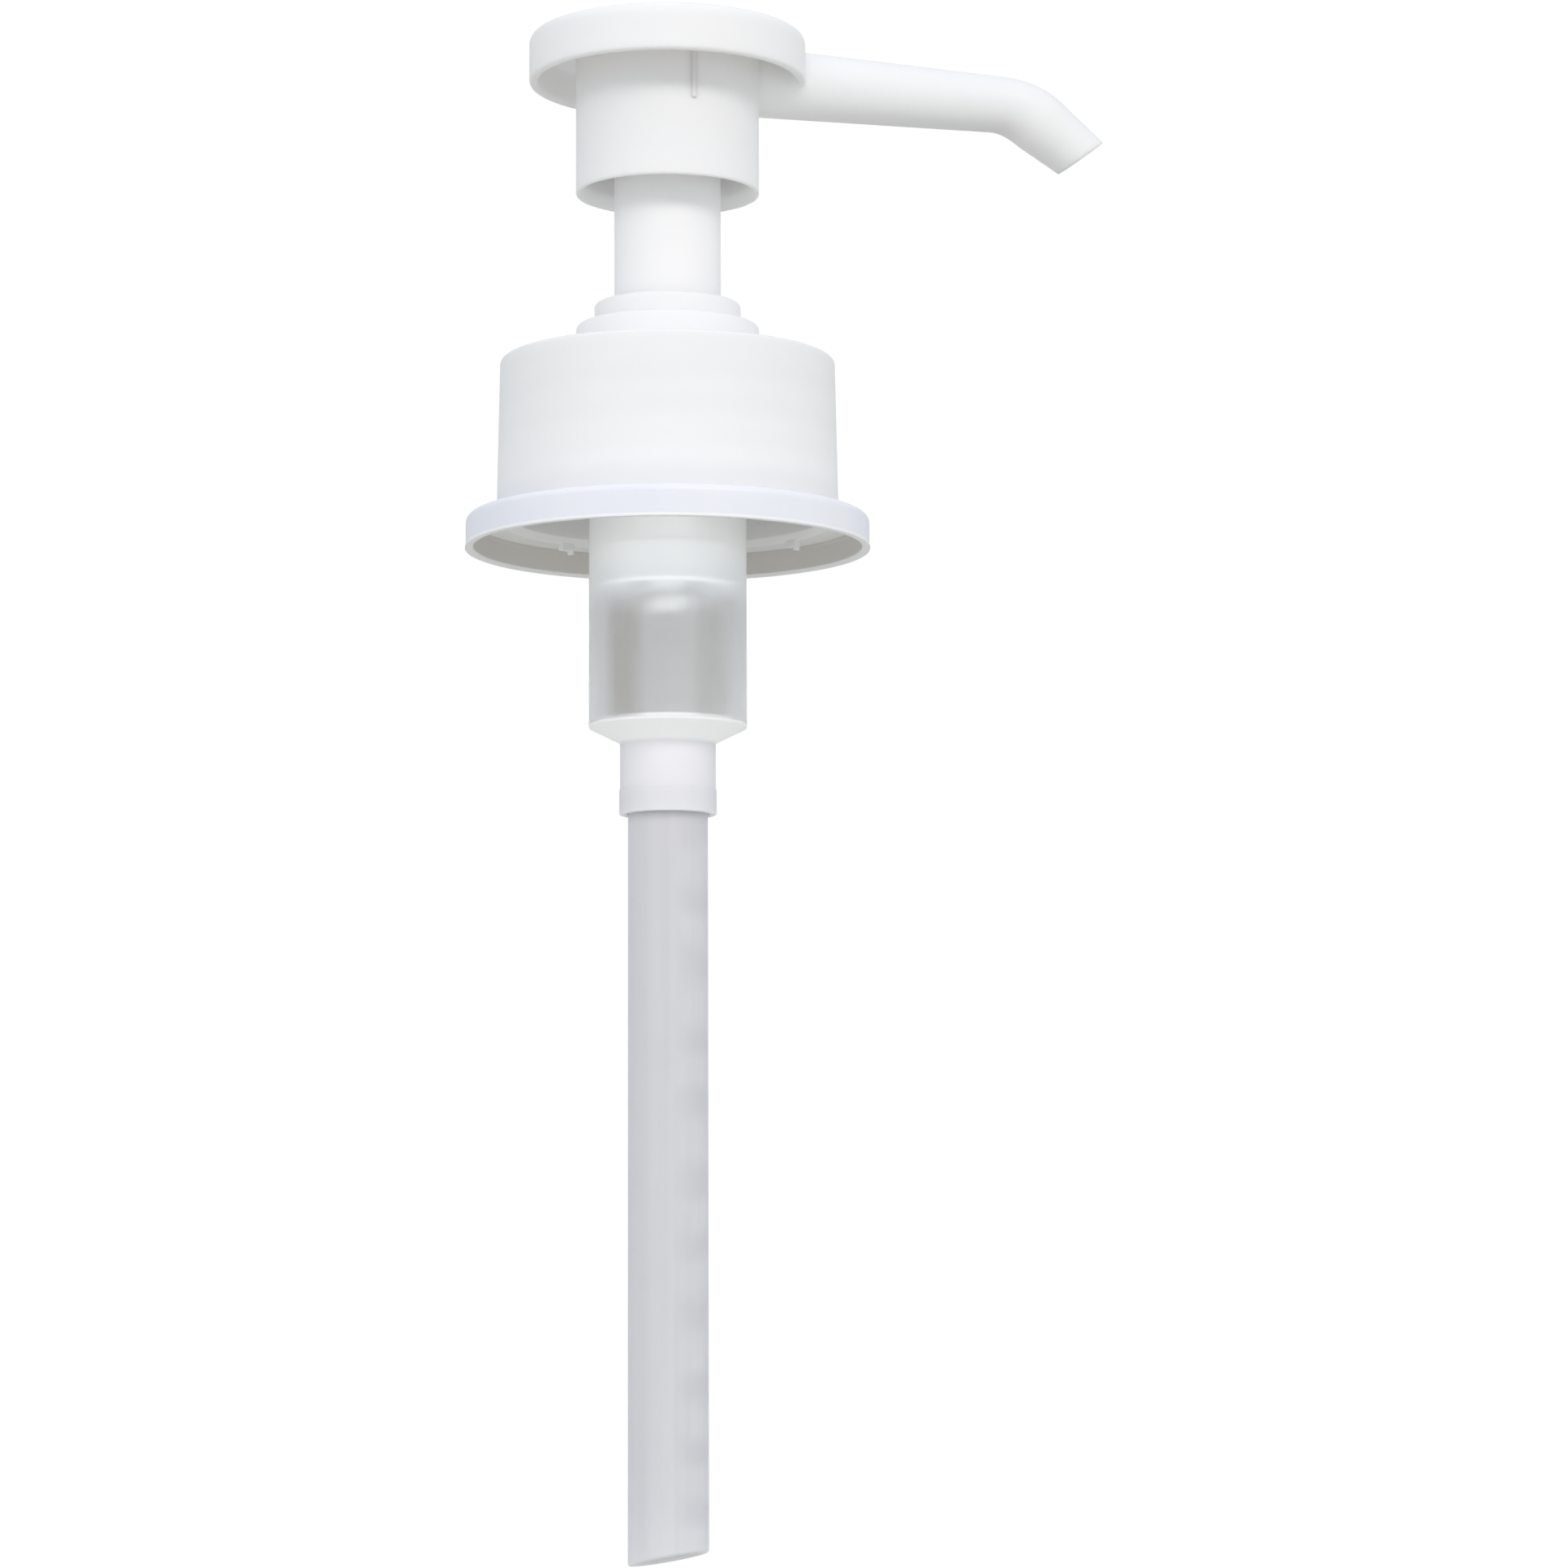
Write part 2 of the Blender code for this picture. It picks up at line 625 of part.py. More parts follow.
def build_cap(parts, cutters, material):
    edge = CAP_EDGE_R
    profile = [(CAP_HOLE_R, CAP_TOP_Z)]
    profile += fillet(CAP_TOP_R - edge, CAP_TOP_Z - edge, edge, 90, 0, 4)
    profile += [
        (CAP_BOTTOM_R, CAP_BOTTOM_Z), (CAP_STEP_R, CAP_BOTTOM_Z),
        (CAP_STEP_R, CAP_STEP_Z), (CAP_BORE_R, CAP_STEP_Z),
        (CAP_BORE_R, CAP_PLATE_Z), (CAP_HOLE_R, CAP_PLATE_Z)]
    cap = turned("screw_cap", profile, SEG_LARGE, parts, material,
                 origin_z=CAP_BOTTOM_Z)
    boolean(cap, build_thread(cutters), 'UNION')
    return cap


def build_skirt(parts, cutters, material):
    inner, outer = SKIRT_SPIGOT_R
    profile = [
        (inner, SKIRT_SPIGOT_Z), (outer - 0.2, SKIRT_SPIGOT_Z),
        (outer, SKIRT_SPIGOT_Z - 0.3), (outer, SKIRT_TOP_Z)]
    profile += fillet(SKIRT_R - 0.6, SKIRT_TOP_Z - 0.6, 0.6, 90, 0, 3)
    profile += [
        (SKIRT_R, SKIRT_BOTTOM_Z + 0.35), (SKIRT_LIP_R, SKIRT_BOTTOM_Z + 0.2),
        (SKIRT_LIP_R, SKIRT_BOTTOM_Z), (SKIRT_BORE_R + 0.1, SKIRT_BOTTOM_Z),
        (SKIRT_BORE_R, SKIRT_PLATE_Z), (outer, SKIRT_PLATE_Z),
        (inner, SKIRT_PLATE_Z + 0.8)]
    ring = turned("skirt_ring", profile, SEG_LARGE, parts, material,
                  origin_z=SKIRT_BOTTOM_Z)
    mid_r = outer + 0.15
    for i in range(4):
        a = math.radians(LUG_AZIMUTH + 90.0 * i)
        lug = as_cutter(block(
            "skirt_lug_%d" % (i + 1), (0.9, LUG_WIDTH, LUG_HEIGHT + 0.4),
            (mid_r * math.cos(a), mid_r * math.sin(a),
             SKIRT_PLATE_Z + 0.4 - (LUG_HEIGHT + 0.4) / 2), cutters,
            rotation_z=a))
        boolean(ring, lug, 'UNION')
    return ring


# --------------------------------------------------------------------- build
def main():
    clear_scene()
    parts = new_collection("condiment_pump")
    cutters = new_collection("cutters")

    white = (0.87, 0.86, 0.85)
    mats = {
        "head": new_material("head_polypropylene", white, 0.38),
        "stem": new_material("stem_polypropylene", white, 0.35),
        "rod": new_material("rod_polypropylene", (0.85, 0.86, 0.88), 0.4),
        "piston": new_material("piston_polyethylene", (0.74, 0.76, 0.80), 0.5),
        "bush": new_material("bush_polypropylene", white, 0.4),
        "wiper": new_material("wiper_silicone", (0.80, 0.80, 0.78), 0.6),
        "nut": new_material("nut_polypropylene", white, 0.42),
        "cap": new_material("cap_polypropylene", (0.86, 0.86, 0.85), 0.45),
        "skirt": new_material("skirt_polypropylene", (0.74, 0.75, 0.84), 0.35,
                              transmission=0.3),
        "gasket": new_material("gasket_foam", (0.82, 0.82, 0.80), 0.8),
        "cylinder": new_material("cylinder_frosted", (0.55, 0.56, 0.55), 0.4,
                                 transmission=0.7, alpha=0.5),
        "foot": new_material("foot_polypropylene", (0.80, 0.80, 0.84), 0.45),
        "cage": new_material("cage_polypropylene", (0.80, 0.80, 0.82), 0.5),
        "tube": new_material("tube_polyethylene", (0.62, 0.62, 0.66), 0.4,
                             transmission=0.4),
        "steel": new_material("stainless_steel", (0.62, 0.62, 0.63), 0.25,
                              metallic=1.0),
        "ball_a": new_material("inlet_ball_steel", (0.66, 0.66, 0.67), 0.15,
                               metallic=1.0),
        "ball_b": new_material("outlet_ball_steel", (0.66, 0.66, 0.67), 0.15,
                               metallic=1.0),
        "stop": new_material("stop_polypropylene", (0.82, 0.82, 0.83), 0.5),
    }

    # bodies hang from empties on their joint axes
    plunger_axis = axis_empty("plunger_axis", (0.0, 0.0, 0.0), parts)
    head_axis = axis_empty("head_axis", (0.0, 0.0, 0.0), parts)
    head_axis.parent = plunger_axis
    closure_axis = axis_empty("closure_axis", (0.0, 0.0, 0.0), parts)

    head = build_head(parts, cutters, mats["head"])
    parent_to(head_axis, head)

    stem = build_stem(parts, mats["stem"])
    rod = build_rod(parts, mats["rod"])
    piston = build_piston(parts, mats["piston"])
    outlet_ball = ball("outlet_ball", OUTLET_BALL_R, OUTLET_BALL_Z, parts,
                       mats["ball_b"])
    stop = pierced_disc("outlet_ball_stop", STEM_BORE_R - 0.1,
                        ROD_TOP_Z + 0.15, ROD_TOP_Z + 1.4, 1.2, 3.1, 6,
                        parts, cutters, mats["stop"])
    parent_to(plunger_axis, stem, rod, piston, outlet_ball, stop)

    cap = build_cap(parts, cutters, mats["cap"])
    skirt = build_skirt(parts, cutters, mats["skirt"])
    parent_to(closure_axis, cap, skirt)

    build_bush(parts, mats["bush"])
    build_wiper(parts, mats["wiper"])
    build_nut(parts, mats["nut"])
    build_gasket(parts, mats["gasket"])
    build_cylinder(parts, mats["cylinder"])
    build_foot(parts, mats["foot"])
    ball("inlet_ball", INLET_BALL_R, INLET_BALL_Z, parts, mats["ball_a"])
    pierced_disc("inlet_ball_cage", CAGE_R, CAGE_Z[0], CAGE_Z[1], 1.1, 2.35,
                 6, parts, cutters, mats["cage"])
    build_spring(parts, mats["steel"])
    build_dip_tube(parts, cutters, mats["tube"])
    bpy.context.view_layer.update()


main()
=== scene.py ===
"""Looks for the condiment pump dispenser: fine meshes, materials, light, camera."""
import math

import bmesh
import bpy
import numpy as np
from mathutils import Matrix, Vector


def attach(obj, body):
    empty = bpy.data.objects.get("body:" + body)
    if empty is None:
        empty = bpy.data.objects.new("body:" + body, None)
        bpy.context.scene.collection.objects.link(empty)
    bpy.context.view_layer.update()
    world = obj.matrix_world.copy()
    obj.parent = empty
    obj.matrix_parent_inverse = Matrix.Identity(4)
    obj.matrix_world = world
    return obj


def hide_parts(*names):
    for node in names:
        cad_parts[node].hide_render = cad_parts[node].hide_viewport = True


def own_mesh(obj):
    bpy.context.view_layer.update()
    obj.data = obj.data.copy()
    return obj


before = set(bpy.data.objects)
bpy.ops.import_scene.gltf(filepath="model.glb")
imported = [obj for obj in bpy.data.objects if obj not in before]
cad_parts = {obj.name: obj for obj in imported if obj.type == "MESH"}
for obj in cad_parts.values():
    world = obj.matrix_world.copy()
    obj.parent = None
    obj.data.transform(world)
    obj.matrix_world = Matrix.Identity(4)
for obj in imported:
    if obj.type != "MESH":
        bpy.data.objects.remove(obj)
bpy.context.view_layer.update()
MM = 0.001
scene = bpy.context.scene


# ------------------------------------------------------------ mesh building
def rounded(corners, closed=True, arc_step=18.0):
    """Outline corners (r, z, fillet) in mm -> points, with each corner an arc."""
    out = []
    n = len(corners)
    for i, (r, z, f) in enumerate(corners):
        p = Vector((r, z))
        if f <= 0 or (not closed and i in (0, n - 1)):
            out.append((r, z))
            continue
        da = Vector(corners[i - 1][:2]) - p
        db = Vector(corners[(i + 1) % n][:2]) - p
        la, lb = da.length, db.length
        da.normalize()
        db.normalize()
        ang = math.acos(max(-1.0, min(1.0, da.dot(db))))
        if ang > math.radians(178):
            out.append((r, z))
            continue
        t = min(f / math.tan(ang / 2), la * 0.48, lb * 0.48)
        rad = t * math.tan(ang / 2)
        centre = p + (da + db).normalized() * (rad / math.sin(ang / 2))
        s, e = p + da * t - centre, p + db * t - centre
        a0 = math.atan2(s.y, s.x)
        turn = math.atan2(s.x * e.y - s.y * e.x, s.dot(e))
        steps = max(2, int(math.ceil(abs(math.degrees(turn)) / arc_step)))
        for k in range(steps + 1):
            a = a0 + turn * k / steps
            out.append((centre.x + rad * math.cos(a),
                        centre.y + rad * math.sin(a)))
    return out


def split_long(points, longest, closed=True):
    """Adds points so that no step of the outline is longer than longest."""
    out = []
    n = len(points)
    for i in range(n if closed else n - 1):
        a, b = Vector(points[i]), Vector(points[(i + 1) % n])
        steps = max(1, int(math.ceil((b - a).length / longest)))
        for k in range(steps):
            p = a.lerp(b, k / steps)
            out.append((p.x, p.y))
    if not closed:
        out.append(tuple(points[-1]))
    return out


def mesh_object(name, verts, faces, sharp=38.0):
    mesh = bpy.data.meshes.new(name)
    mesh.from_pydata([tuple(v) for v in verts], [], faces)
    bm = bmesh.new()
    bm.from_mesh(mesh)
    bmesh.ops.remove_doubles(bm, verts=bm.verts, dist=1e-7)
    bmesh.ops.recalc_face_normals(bm, faces=bm.faces)
    bm.to_mesh(mesh)
    bm.free()
    mesh.shade_smooth()
    mesh.set_sharp_from_angle(angle=math.radians(sharp))
    obj = bpy.data.objects.new(name, mesh)
    scene.collection.objects.link(obj)
    return obj


def lathe(name, outline, segments, closed=True):
    """Turns an outline of (r, z) in mm round Z."""
    m = len(outline)
    verts = []
    for k in range(segments):
        a = 2 * math.pi * k / segments
        c, s = math.cos(a), math.sin(a)
        verts += [(r * c * MM, r * s * MM, z * MM) for r, z in outline]
    faces = []
    for k in range(segments):
        k2 = (k + 1) % segments
        for i in range(m if closed else m - 1):
            j = (i + 1) % m
            if outline[i][0] < 1e-6 and outline[j][0] < 1e-6:
                continue
            quad = [k * m + i, k * m + j, k2 * m + j, k2 * m + i]
            if outline[i][0] < 1e-6:
                quad = [k * m + i, k * m + j, k2 * m + j]
            elif outline[j][0] < 1e-6:
                quad = [k * m + i, k * m + j, k2 * m + i]
            faces.append(quad)
    return mesh_object(name, verts, faces)


def sweep_xz(name, points, radii, sides):
    """A round bar along points (x, z) in the XZ plane, capped at both ends."""
    verts, faces = [], []
    n = len(points)
    for i, ((x, z), r) in enumerate(zip(points, radii)):
        a = Vector(points[max(i - 1, 0)])
        b = Vector(points[min(i + 1, n - 1)])
        d = (b - a).normalized()
        normal = Vector((-d.y, d.x))
        for k in range(sides):
            t = 2 * math.pi * k / sides
            u, v = r * math.cos(t), r * math.sin(t)
            verts.append(((x + normal.x * u) * MM, v * MM,
                          (z + normal.y * u) * MM))
    for i in range(n - 1):
        for k in range(sides):
            k2 = (k + 1) % sides
            faces.append([i * sides + k, i * sides + k2,
                          (i + 1) * sides + k2, (i + 1) * sides + k])
    faces.append(list(range(sides)))
    faces.append([(n - 1) * sides + k for k in range(sides)])
    return mesh_object(name, verts, faces)


def box_object(name, size, location, rotation=(0, 0, 0), bevel=0.0):
    mesh = bpy.data.meshes.new(name)
    bm = bmesh.new()
    bmesh.ops.create_cube(bm, size=1.0)
    bmesh.ops.scale(bm, vec=Vector(size) * MM, verts=bm.verts)
    if bevel:
        bmesh.ops.bevel(bm, geom=list(bm.edges), offset=bevel * MM,
                        segments=3, profile=0.5, affect='EDGES')
    bm.to_mesh(mesh)
    bm.free()
    obj = bpy.data.objects.new(name, mesh)
    obj.location = Vector(location) * MM
    obj.rotation_euler = rotation
    scene.collection.objects.link(obj)
    return obj


def apply_all(obj):
    """Leaves obj as its evaluated mesh, with no modifiers."""
    bpy.context.view_layer.update()
    dg = bpy.context.evaluated_depsgraph_get()
    mesh = bpy.data.meshes.new_from_object(obj.evaluated_get(dg), depsgraph=dg)
    obj.modifiers.clear()
    obj.data = mesh
    return obj


def combine(obj, tools, operation):
    """Boolean union or difference with each tool, which is then removed."""
    for tool in tools:
        mod = obj.modifiers.new("b", 'BOOLEAN')
        mod.operation = operation
        mod.object = tool
        mod.solver = 'EXACT'
        apply_all(obj)
        bpy.data.objects.remove(tool, do_unlink=True)
    return obj


def weighted(obj):
    mod = obj.modifiers.new("normals", 'WEIGHTED_NORMAL')
    mod.keep_sharp = True
    mod.weight = 60
    return obj


# ---------------------------------------------------------------- materials
def node(tree, kind, **values):
    n = tree.nodes.new(kind)
    for key, value in values.items():
        if hasattr(n, key):
            setattr(n, key, value)
        else:
            n.inputs[key].default_value = value
    return n


def noise(tree, coords, scale, detail=3.0, roughness=0.5, stretch=None):
    if stretch is not None:
        mapping = tree.nodes.new("ShaderNodeMapping")
        mapping.inputs["Scale"].default_value = stretch
        tree.links.new(coords, mapping.inputs["Vector"])
        coords = mapping.outputs["Vector"]
    n = tree.nodes.new("ShaderNodeTexNoise")
    n.inputs["Scale"].default_value = scale
    n.inputs["Detail"].default_value = detail
    n.inputs["Roughness"].default_value = roughness
    tree.links.new(coords, n.inputs["Vector"])
    return n.outputs["Fac"]


def remap(tree, value, low, high, to_low, to_high):
    n = tree.nodes.new("ShaderNodeMapRange")
    n.inputs["From Min"].default_value = low
    n.inputs["From Max"].default_value = high
    n.inputs["To Min"].default_value = to_low
    n.inputs["To Max"].default_value = to_high
    tree.links.new(value, n.inputs["Value"])
    return n.outputs["Result"]


def mix_colour(tree, factor, a, b):
    n = tree.nodes.new("ShaderNodeMix")
    n.data_type = 'RGBA'
    for socket, value in ((n.inputs[6], a), (n.inputs[7], b)):
        if isinstance(value, tuple):
            socket.default_value = (*value, 1.0)
        else:
            tree.links.new(value, socket)
    if isinstance(factor, float):
        n.inputs[0].default_value = factor
    else:
        tree.links.new(factor, n.inputs[0])
    return n.outputs[2]


def plastic(name, colour, shade, rough=(0.34, 0.46), mottle=90.0, grain=2600.0,
            bump=0.0, sss=0.0, sss_scale=0.0015, transmission=0.0, ior=1.49,
            stretch=None, specular=0.5):
    """Moulded plastic: slow colour drift, uneven gloss and a fine mould grain."""
    mat = bpy.data.materials.new(name)
    mat.use_nodes = True
    tree = mat.node_tree
    bsdf = tree.nodes["Principled BSDF"]
    coords = tree.nodes.new("ShaderNodeTexCoord").outputs["Object"]
    drift = noise(tree, coords, mottle, 4.0, 0.55, stretch)
    drift = remap(tree, drift, 0.32, 0.68, 0.0, 1.0)
    base = mix_colour(tree, drift, colour, shade)
    tree.links.new(base, bsdf.inputs["Base Color"])
    gloss = noise(tree, coords, mottle * 3.5, 5.0, 0.6)
    tree.links.new(remap(tree, gloss, 0.3, 0.7, *rough),
                   bsdf.inputs["Roughness"])
    fine = noise(tree, coords, grain, 3.0, 0.5)
    bump_node = tree.nodes.new("ShaderNodeBump")
    bump_node.inputs["Strength"].default_value = bump
    bump_node.inputs["Distance"].default_value = 0.0001
    tree.links.new(fine, bump_node.inputs["Height"])
    if bump > 0:
        tree.links.new(bump_node.outputs["Normal"], bsdf.inputs["Normal"])
    bsdf.inputs["Subsurface Weight"].default_value = sss
    bsdf.inputs["Subsurface Radius"].default_value = (1.0, 1.0, 1.0)
    bsdf.inputs["Subsurface Scale"].default_value = sss_scale
    bsdf.inputs["Transmission Weight"].default_value = transmission
    bsdf.inputs["IOR"].default_value = ior
    bsdf.inputs["Specular IOR Level"].default_value = specular
    return mat, tree, bsdf, coords, base


def steel(name, colour, rough, streak=(1.0, 1.0, 1.0)):
    mat = bpy.data.materials.new(name)
    mat.use_nodes = True
    tree = mat.node_tree
    bsdf = tree.nodes["Principled BSDF"]
    coords = tree.nodes.new("ShaderNodeTexCoord").outputs["Object"]
    tint = remap(tree, noise(tree, coords, 700.0, 4.0, 0.6, streak),
                 0.3, 0.7, 0.0, 1.0)
    tree.links.new(mix_colour(tree, tint, colour,
                              tuple(c * 0.88 for c in colour)),
                   bsdf.inputs["Base Color"])
    tree.links.new(remap(tree, noise(tree, coords, 1900.0, 4.0, 0.6, streak),
                         0.3, 0.7, *rough), bsdf.inputs["Roughness"])
    bsdf.inputs["Metallic"].default_value = 1.0
    return mat


def math_node(tree, operation, a, b=None):
    n = tree.nodes.new("ShaderNodeMath")
    n.operation = operation
    for socket, value in zip(n.inputs, (a, b)):
        if value is None:
            continue
        if isinstance(value, (int, float)):
            socket.default_value = float(value)
        else:
            tree.links.new(value, socket)
    return n.outputs[0]


def add_bands(tree, bsdf, coords, base, dark, pitch, phase, amount):
    """Soft helical bands, where the thread inside shows through the wall."""
    parts = tree.nodes.new("ShaderNodeSeparateXYZ")
    tree.links.new(coords, parts.inputs[0])
    angle = math_node(tree, 'ARCTAN2', parts.outputs["Y"], parts.outputs["X"])
    turns = math_node(tree, 'DIVIDE', parts.outputs["Z"], pitch)
    turns = math_node(tree, 'SUBTRACT', math_node(tree, 'MULTIPLY', turns,
                                                  2 * math.pi), angle)
    wave = math_node(tree, 'SINE', math_node(tree, 'ADD', turns, phase))
    wobble = noise(tree, coords, 160.0, 3.0, 0.6, (0.35, 0.35, 1.6))
    wave = math_node(tree, 'ADD', wave,
                     math_node(tree, 'MULTIPLY',
                               math_node(tree, 'SUBTRACT', wobble, 0.5), 3.0))
    factor = remap(tree, wave, -1.4, 1.4, 0.0, amount)
    tree.links.new(mix_colour(tree, factor, base, dark),
                   bsdf.inputs["Base Color"])


def z_blend(tree, coords, low, high, at_low=0.0, at_high=1.0):
    """at_low at z = low and at_high at z = high, in metres."""
    parts = tree.nodes.new("ShaderNodeSeparateXYZ")
    tree.links.new(coords, parts.inputs[0])
    return remap(tree, parts.outputs["Z"], low, high, at_low, at_high)


def streaks(tree, coords, count, phase, sway):
    """Soft streaks up the wall, evenly spaced round Z, used as a mask of painted shade:
    0 clear, 1 full.
    """
    parts = tree.nodes.new("ShaderNodeSeparateXYZ")
    tree.links.new(coords, parts.inputs[0])
    angle = math_node(tree, 'ARCTAN2', parts.outputs["Y"], parts.outputs["X"])
    turn = math_node(tree, 'ADD', math_node(tree, 'MULTIPLY', angle, count),
                     phase)
    shift = noise(tree, coords, 130.0, 3.0, 0.5, (1.0, 1.0, 0.15))
    turn = math_node(tree, 'ADD', turn, math_node(
        tree, 'MULTIPLY', math_node(tree, 'SUBTRACT', shift, 0.5), sway * 2))
    return remap(tree, math_node(tree, 'COSINE', turn), -0.1, 0.9, 0.0, 1.0)


def radius_of(tree, coords):
    """Distance from the Z axis, in metres."""
    parts = tree.nodes.new("ShaderNodeSeparateXYZ")
    tree.links.new(coords, parts.inputs[0])
    x2 = math_node(tree, 'MULTIPLY', parts.outputs["X"], parts.outputs["X"])
    y2 = math_node(tree, 'MULTIPLY', parts.outputs["Y"], parts.outputs["Y"])
    return math_node(tree, 'SQRT', math_node(tree, 'ADD', x2, y2))


WARM = (0.950, 0.934, 0.930)
COOL = (0.928, 0.930, 0.936)

mat_head = plastic("head_plastic", (0.936, 0.913, 0.906), COOL, (0.50, 0.62), 60.0,
                   sss=0.4, sss_scale=0.0014, specular=0.4)[0]
mat_rib = plastic("rib_plastic", WARM, COOL, (0.50, 0.62), 60.0,
                  specular=0.4)[0]
mat_stem = plastic("stem_plastic", (0.955, 0.940, 0.938), COOL, (0.46, 0.56),
                   80.0, sss=0.2, specular=0.4)[0]
mat_bush = plastic("bush_plastic", (0.948, 0.934, 0.930), COOL, (0.48, 0.60),
                   120.0, sss=0.35, specular=0.4)[0]
mat_nut = plastic("nut_plastic", (0.948, 0.934, 0.930), COOL, (0.50, 0.62),
                  110.0, sss=0.35, specular=0.4)[0]
mat_cap, tree, bsdf, coords, base = plastic(
    "cap_plastic", (0.942, 0.938, 0.928), (0.925, 0.922, 0.918), (0.40, 0.54),
    70.0, sss=0.4, sss_scale=0.002)
add_bands(tree, bsdf, coords, base, (0.885, 0.882, 0.872), 0.004233, 0.6, 0.32)
mat_skirt, tree, bsdf, coords, base = plastic(
    "skirt_plastic", (0.905, 0.910, 0.985), (0.845, 0.860, 0.990), (0.34, 0.44),
    45.0, sss=0.5, sss_scale=0.0010, stretch=(1.0, 1.0, 0.5))
# Painted highlight: the skirt's bottom lip, below z -18.7 mm, is painted near-white for
# the bright line of light along that edge.
base = mix_colour(tree, z_blend(tree, coords, -0.01880, -0.01865), (0.985, 0.985, 0.985),
                  base)
# Painted light and shade inside the skirt: the plate underside and bore (r < 23.2 mm)
# are painted near-white to lift them out of shade, and the inner wall (r > 23.7 mm) is
# painted warm grey for the shade there.
radius = radius_of(tree, coords)
painted_inner_mask = remap(tree, radius, 0.0244, 0.0246, 1.0, 0.0)
inside = mix_colour(tree, remap(tree, radius, 0.0232, 0.0237, 0.0, 1.0),
                    (0.99, 0.988, 0.965), (0.69, 0.67, 0.645))
painted_inner_mask = math_node(tree, 'MULTIPLY', painted_inner_mask,
                  z_blend(tree, coords, -0.0155, -0.0160, 0.0, 1.0))
painted_inner_mask = math_node(tree, 'MULTIPLY', painted_inner_mask,
                  z_blend(tree, coords, -0.01885, -0.01870, 0.0, 1.0))
painted_inner_mask = math_node(tree, 'MAXIMUM', painted_inner_mask,
                  remap(tree, radius, 0.0203, 0.0206, 1.0, 0.0))
tree.links.new(mix_colour(tree, painted_inner_mask, base, inside),
               bsdf.inputs["Base Color"])
mat_cylinder, tree, bsdf, coords, base = plastic(
    "cylinder_plastic", (0.970, 0.98, 0.985), (0.945, 0.955, 0.960),
    (0.42, 0.47), 120.0, transmission=0.90, ior=1.33,
    stretch=(1.0, 1.0, 0.12))
bsdf.inputs["Sheen Weight"].default_value = 0.25
bsdf.inputs["Sheen Roughness"].default_value = 0.45
bsdf.inputs["Alpha"].default_value = 0.88
# Painted shade: five warm-grey streaks up the wall below the piston, where the hollow
# behind the wall is in shade, strongest on the side at azimuth -142 degrees.
parts = tree.nodes.new("ShaderNodeSeparateXYZ")
tree.links.new(coords, parts.inputs[0])
side = math_node(tree, 'ARCTAN2', parts.outputs["Y"], parts.outputs["X"])
side = remap(tree, math_node(tree, 'COSINE', math_node(
    tree, 'ADD', side, math.radians(142.0))), 0.1, 1.0, 0.35, 1.0)
side = math_node(tree, 'MULTIPLY', side,
                 z_blend(tree, coords, -0.0285, -0.0248, 1.0, 0.0))
side = math_node(tree, 'MULTIPLY', side, remap(
    tree, noise(tree, coords, 420.0, 4.0, 0.6, (1.0, 1.0, 0.6)),
    0.3, 0.7, 0.72, 1.12))
tree.links.new(mix_colour(tree, math_node(tree, 'MULTIPLY', side, streaks(
                              tree, coords, 5, -0.175, 0.7)),
                          base, (0.72, 0.71, 0.685)),
               bsdf.inputs["Base Color"])
tree.links.new(z_blend(tree, coords, -0.0262, -0.0205, 0.93, 0.46),
               bsdf.inputs["Transmission Weight"])
mat_piston = plastic("piston_plastic", (0.80, 0.81, 0.84),
                     (0.78, 0.79, 0.82), (0.62, 0.74), 150.0, sss=0.5,
                     specular=0.2)[0]
mat_rod, tree, bsdf, coords, base = plastic(
    "rod_plastic", (0.95, 0.95, 0.96), (0.92, 0.925, 0.94), (0.50, 0.60),
    150.0, sss=0.3, specular=0.2)
# Painted shade: the rod below about z -23.5 mm, the nub under the piston, is painted
# darker grey for the shade it sits in.
tree.links.new(mix_colour(tree, z_blend(tree, coords, -0.0245, -0.0225),
                          (0.74, 0.735, 0.72), base),
               bsdf.inputs["Base Color"])
mat_wiper = plastic("wiper_silicone", (0.80, 0.80, 0.78), (0.76, 0.76, 0.74),
                    (0.45, 0.6), 200.0, sss=0.3)[0]
mat_gasket = plastic("gasket_foam", (0.82, 0.82, 0.80), (0.72, 0.72, 0.70),
                     (0.75, 0.9), 900.0, 3500.0, 0.5)[0]
mat_foot, tree, bsdf, coords, base = plastic(
    "foot_plastic", (0.838, 0.824, 0.848), (0.828, 0.818, 0.843), (0.40, 0.52),
    110.0, sss=0.6, sss_scale=0.0016)
# Painted light: the top of the foot above about z -43.4 mm, the downward-facing cone and
# spigot, is painted near-white to lift it out of shade. Below the step at z -49 mm the
# foot is painted darker.
base = mix_colour(tree, z_blend(tree, coords, -0.0436, -0.0432), base,
                  (0.985, 0.98, 0.99))
tree.links.new(mix_colour(tree, z_blend(tree, coords, -0.04915, -0.04885),
                          (0.796, 0.788, 0.806), base),
               bsdf.inputs["Base Color"])
mat_tube, tree, bsdf, coords, base = plastic(
    "tube_plastic", (0.785, 0.78, 0.815), (0.715, 0.698, 0.733), (0.34, 0.46),
    55.0, sss=1.0, sss_scale=0.0025, stretch=(1.0, 1.0, 0.18))
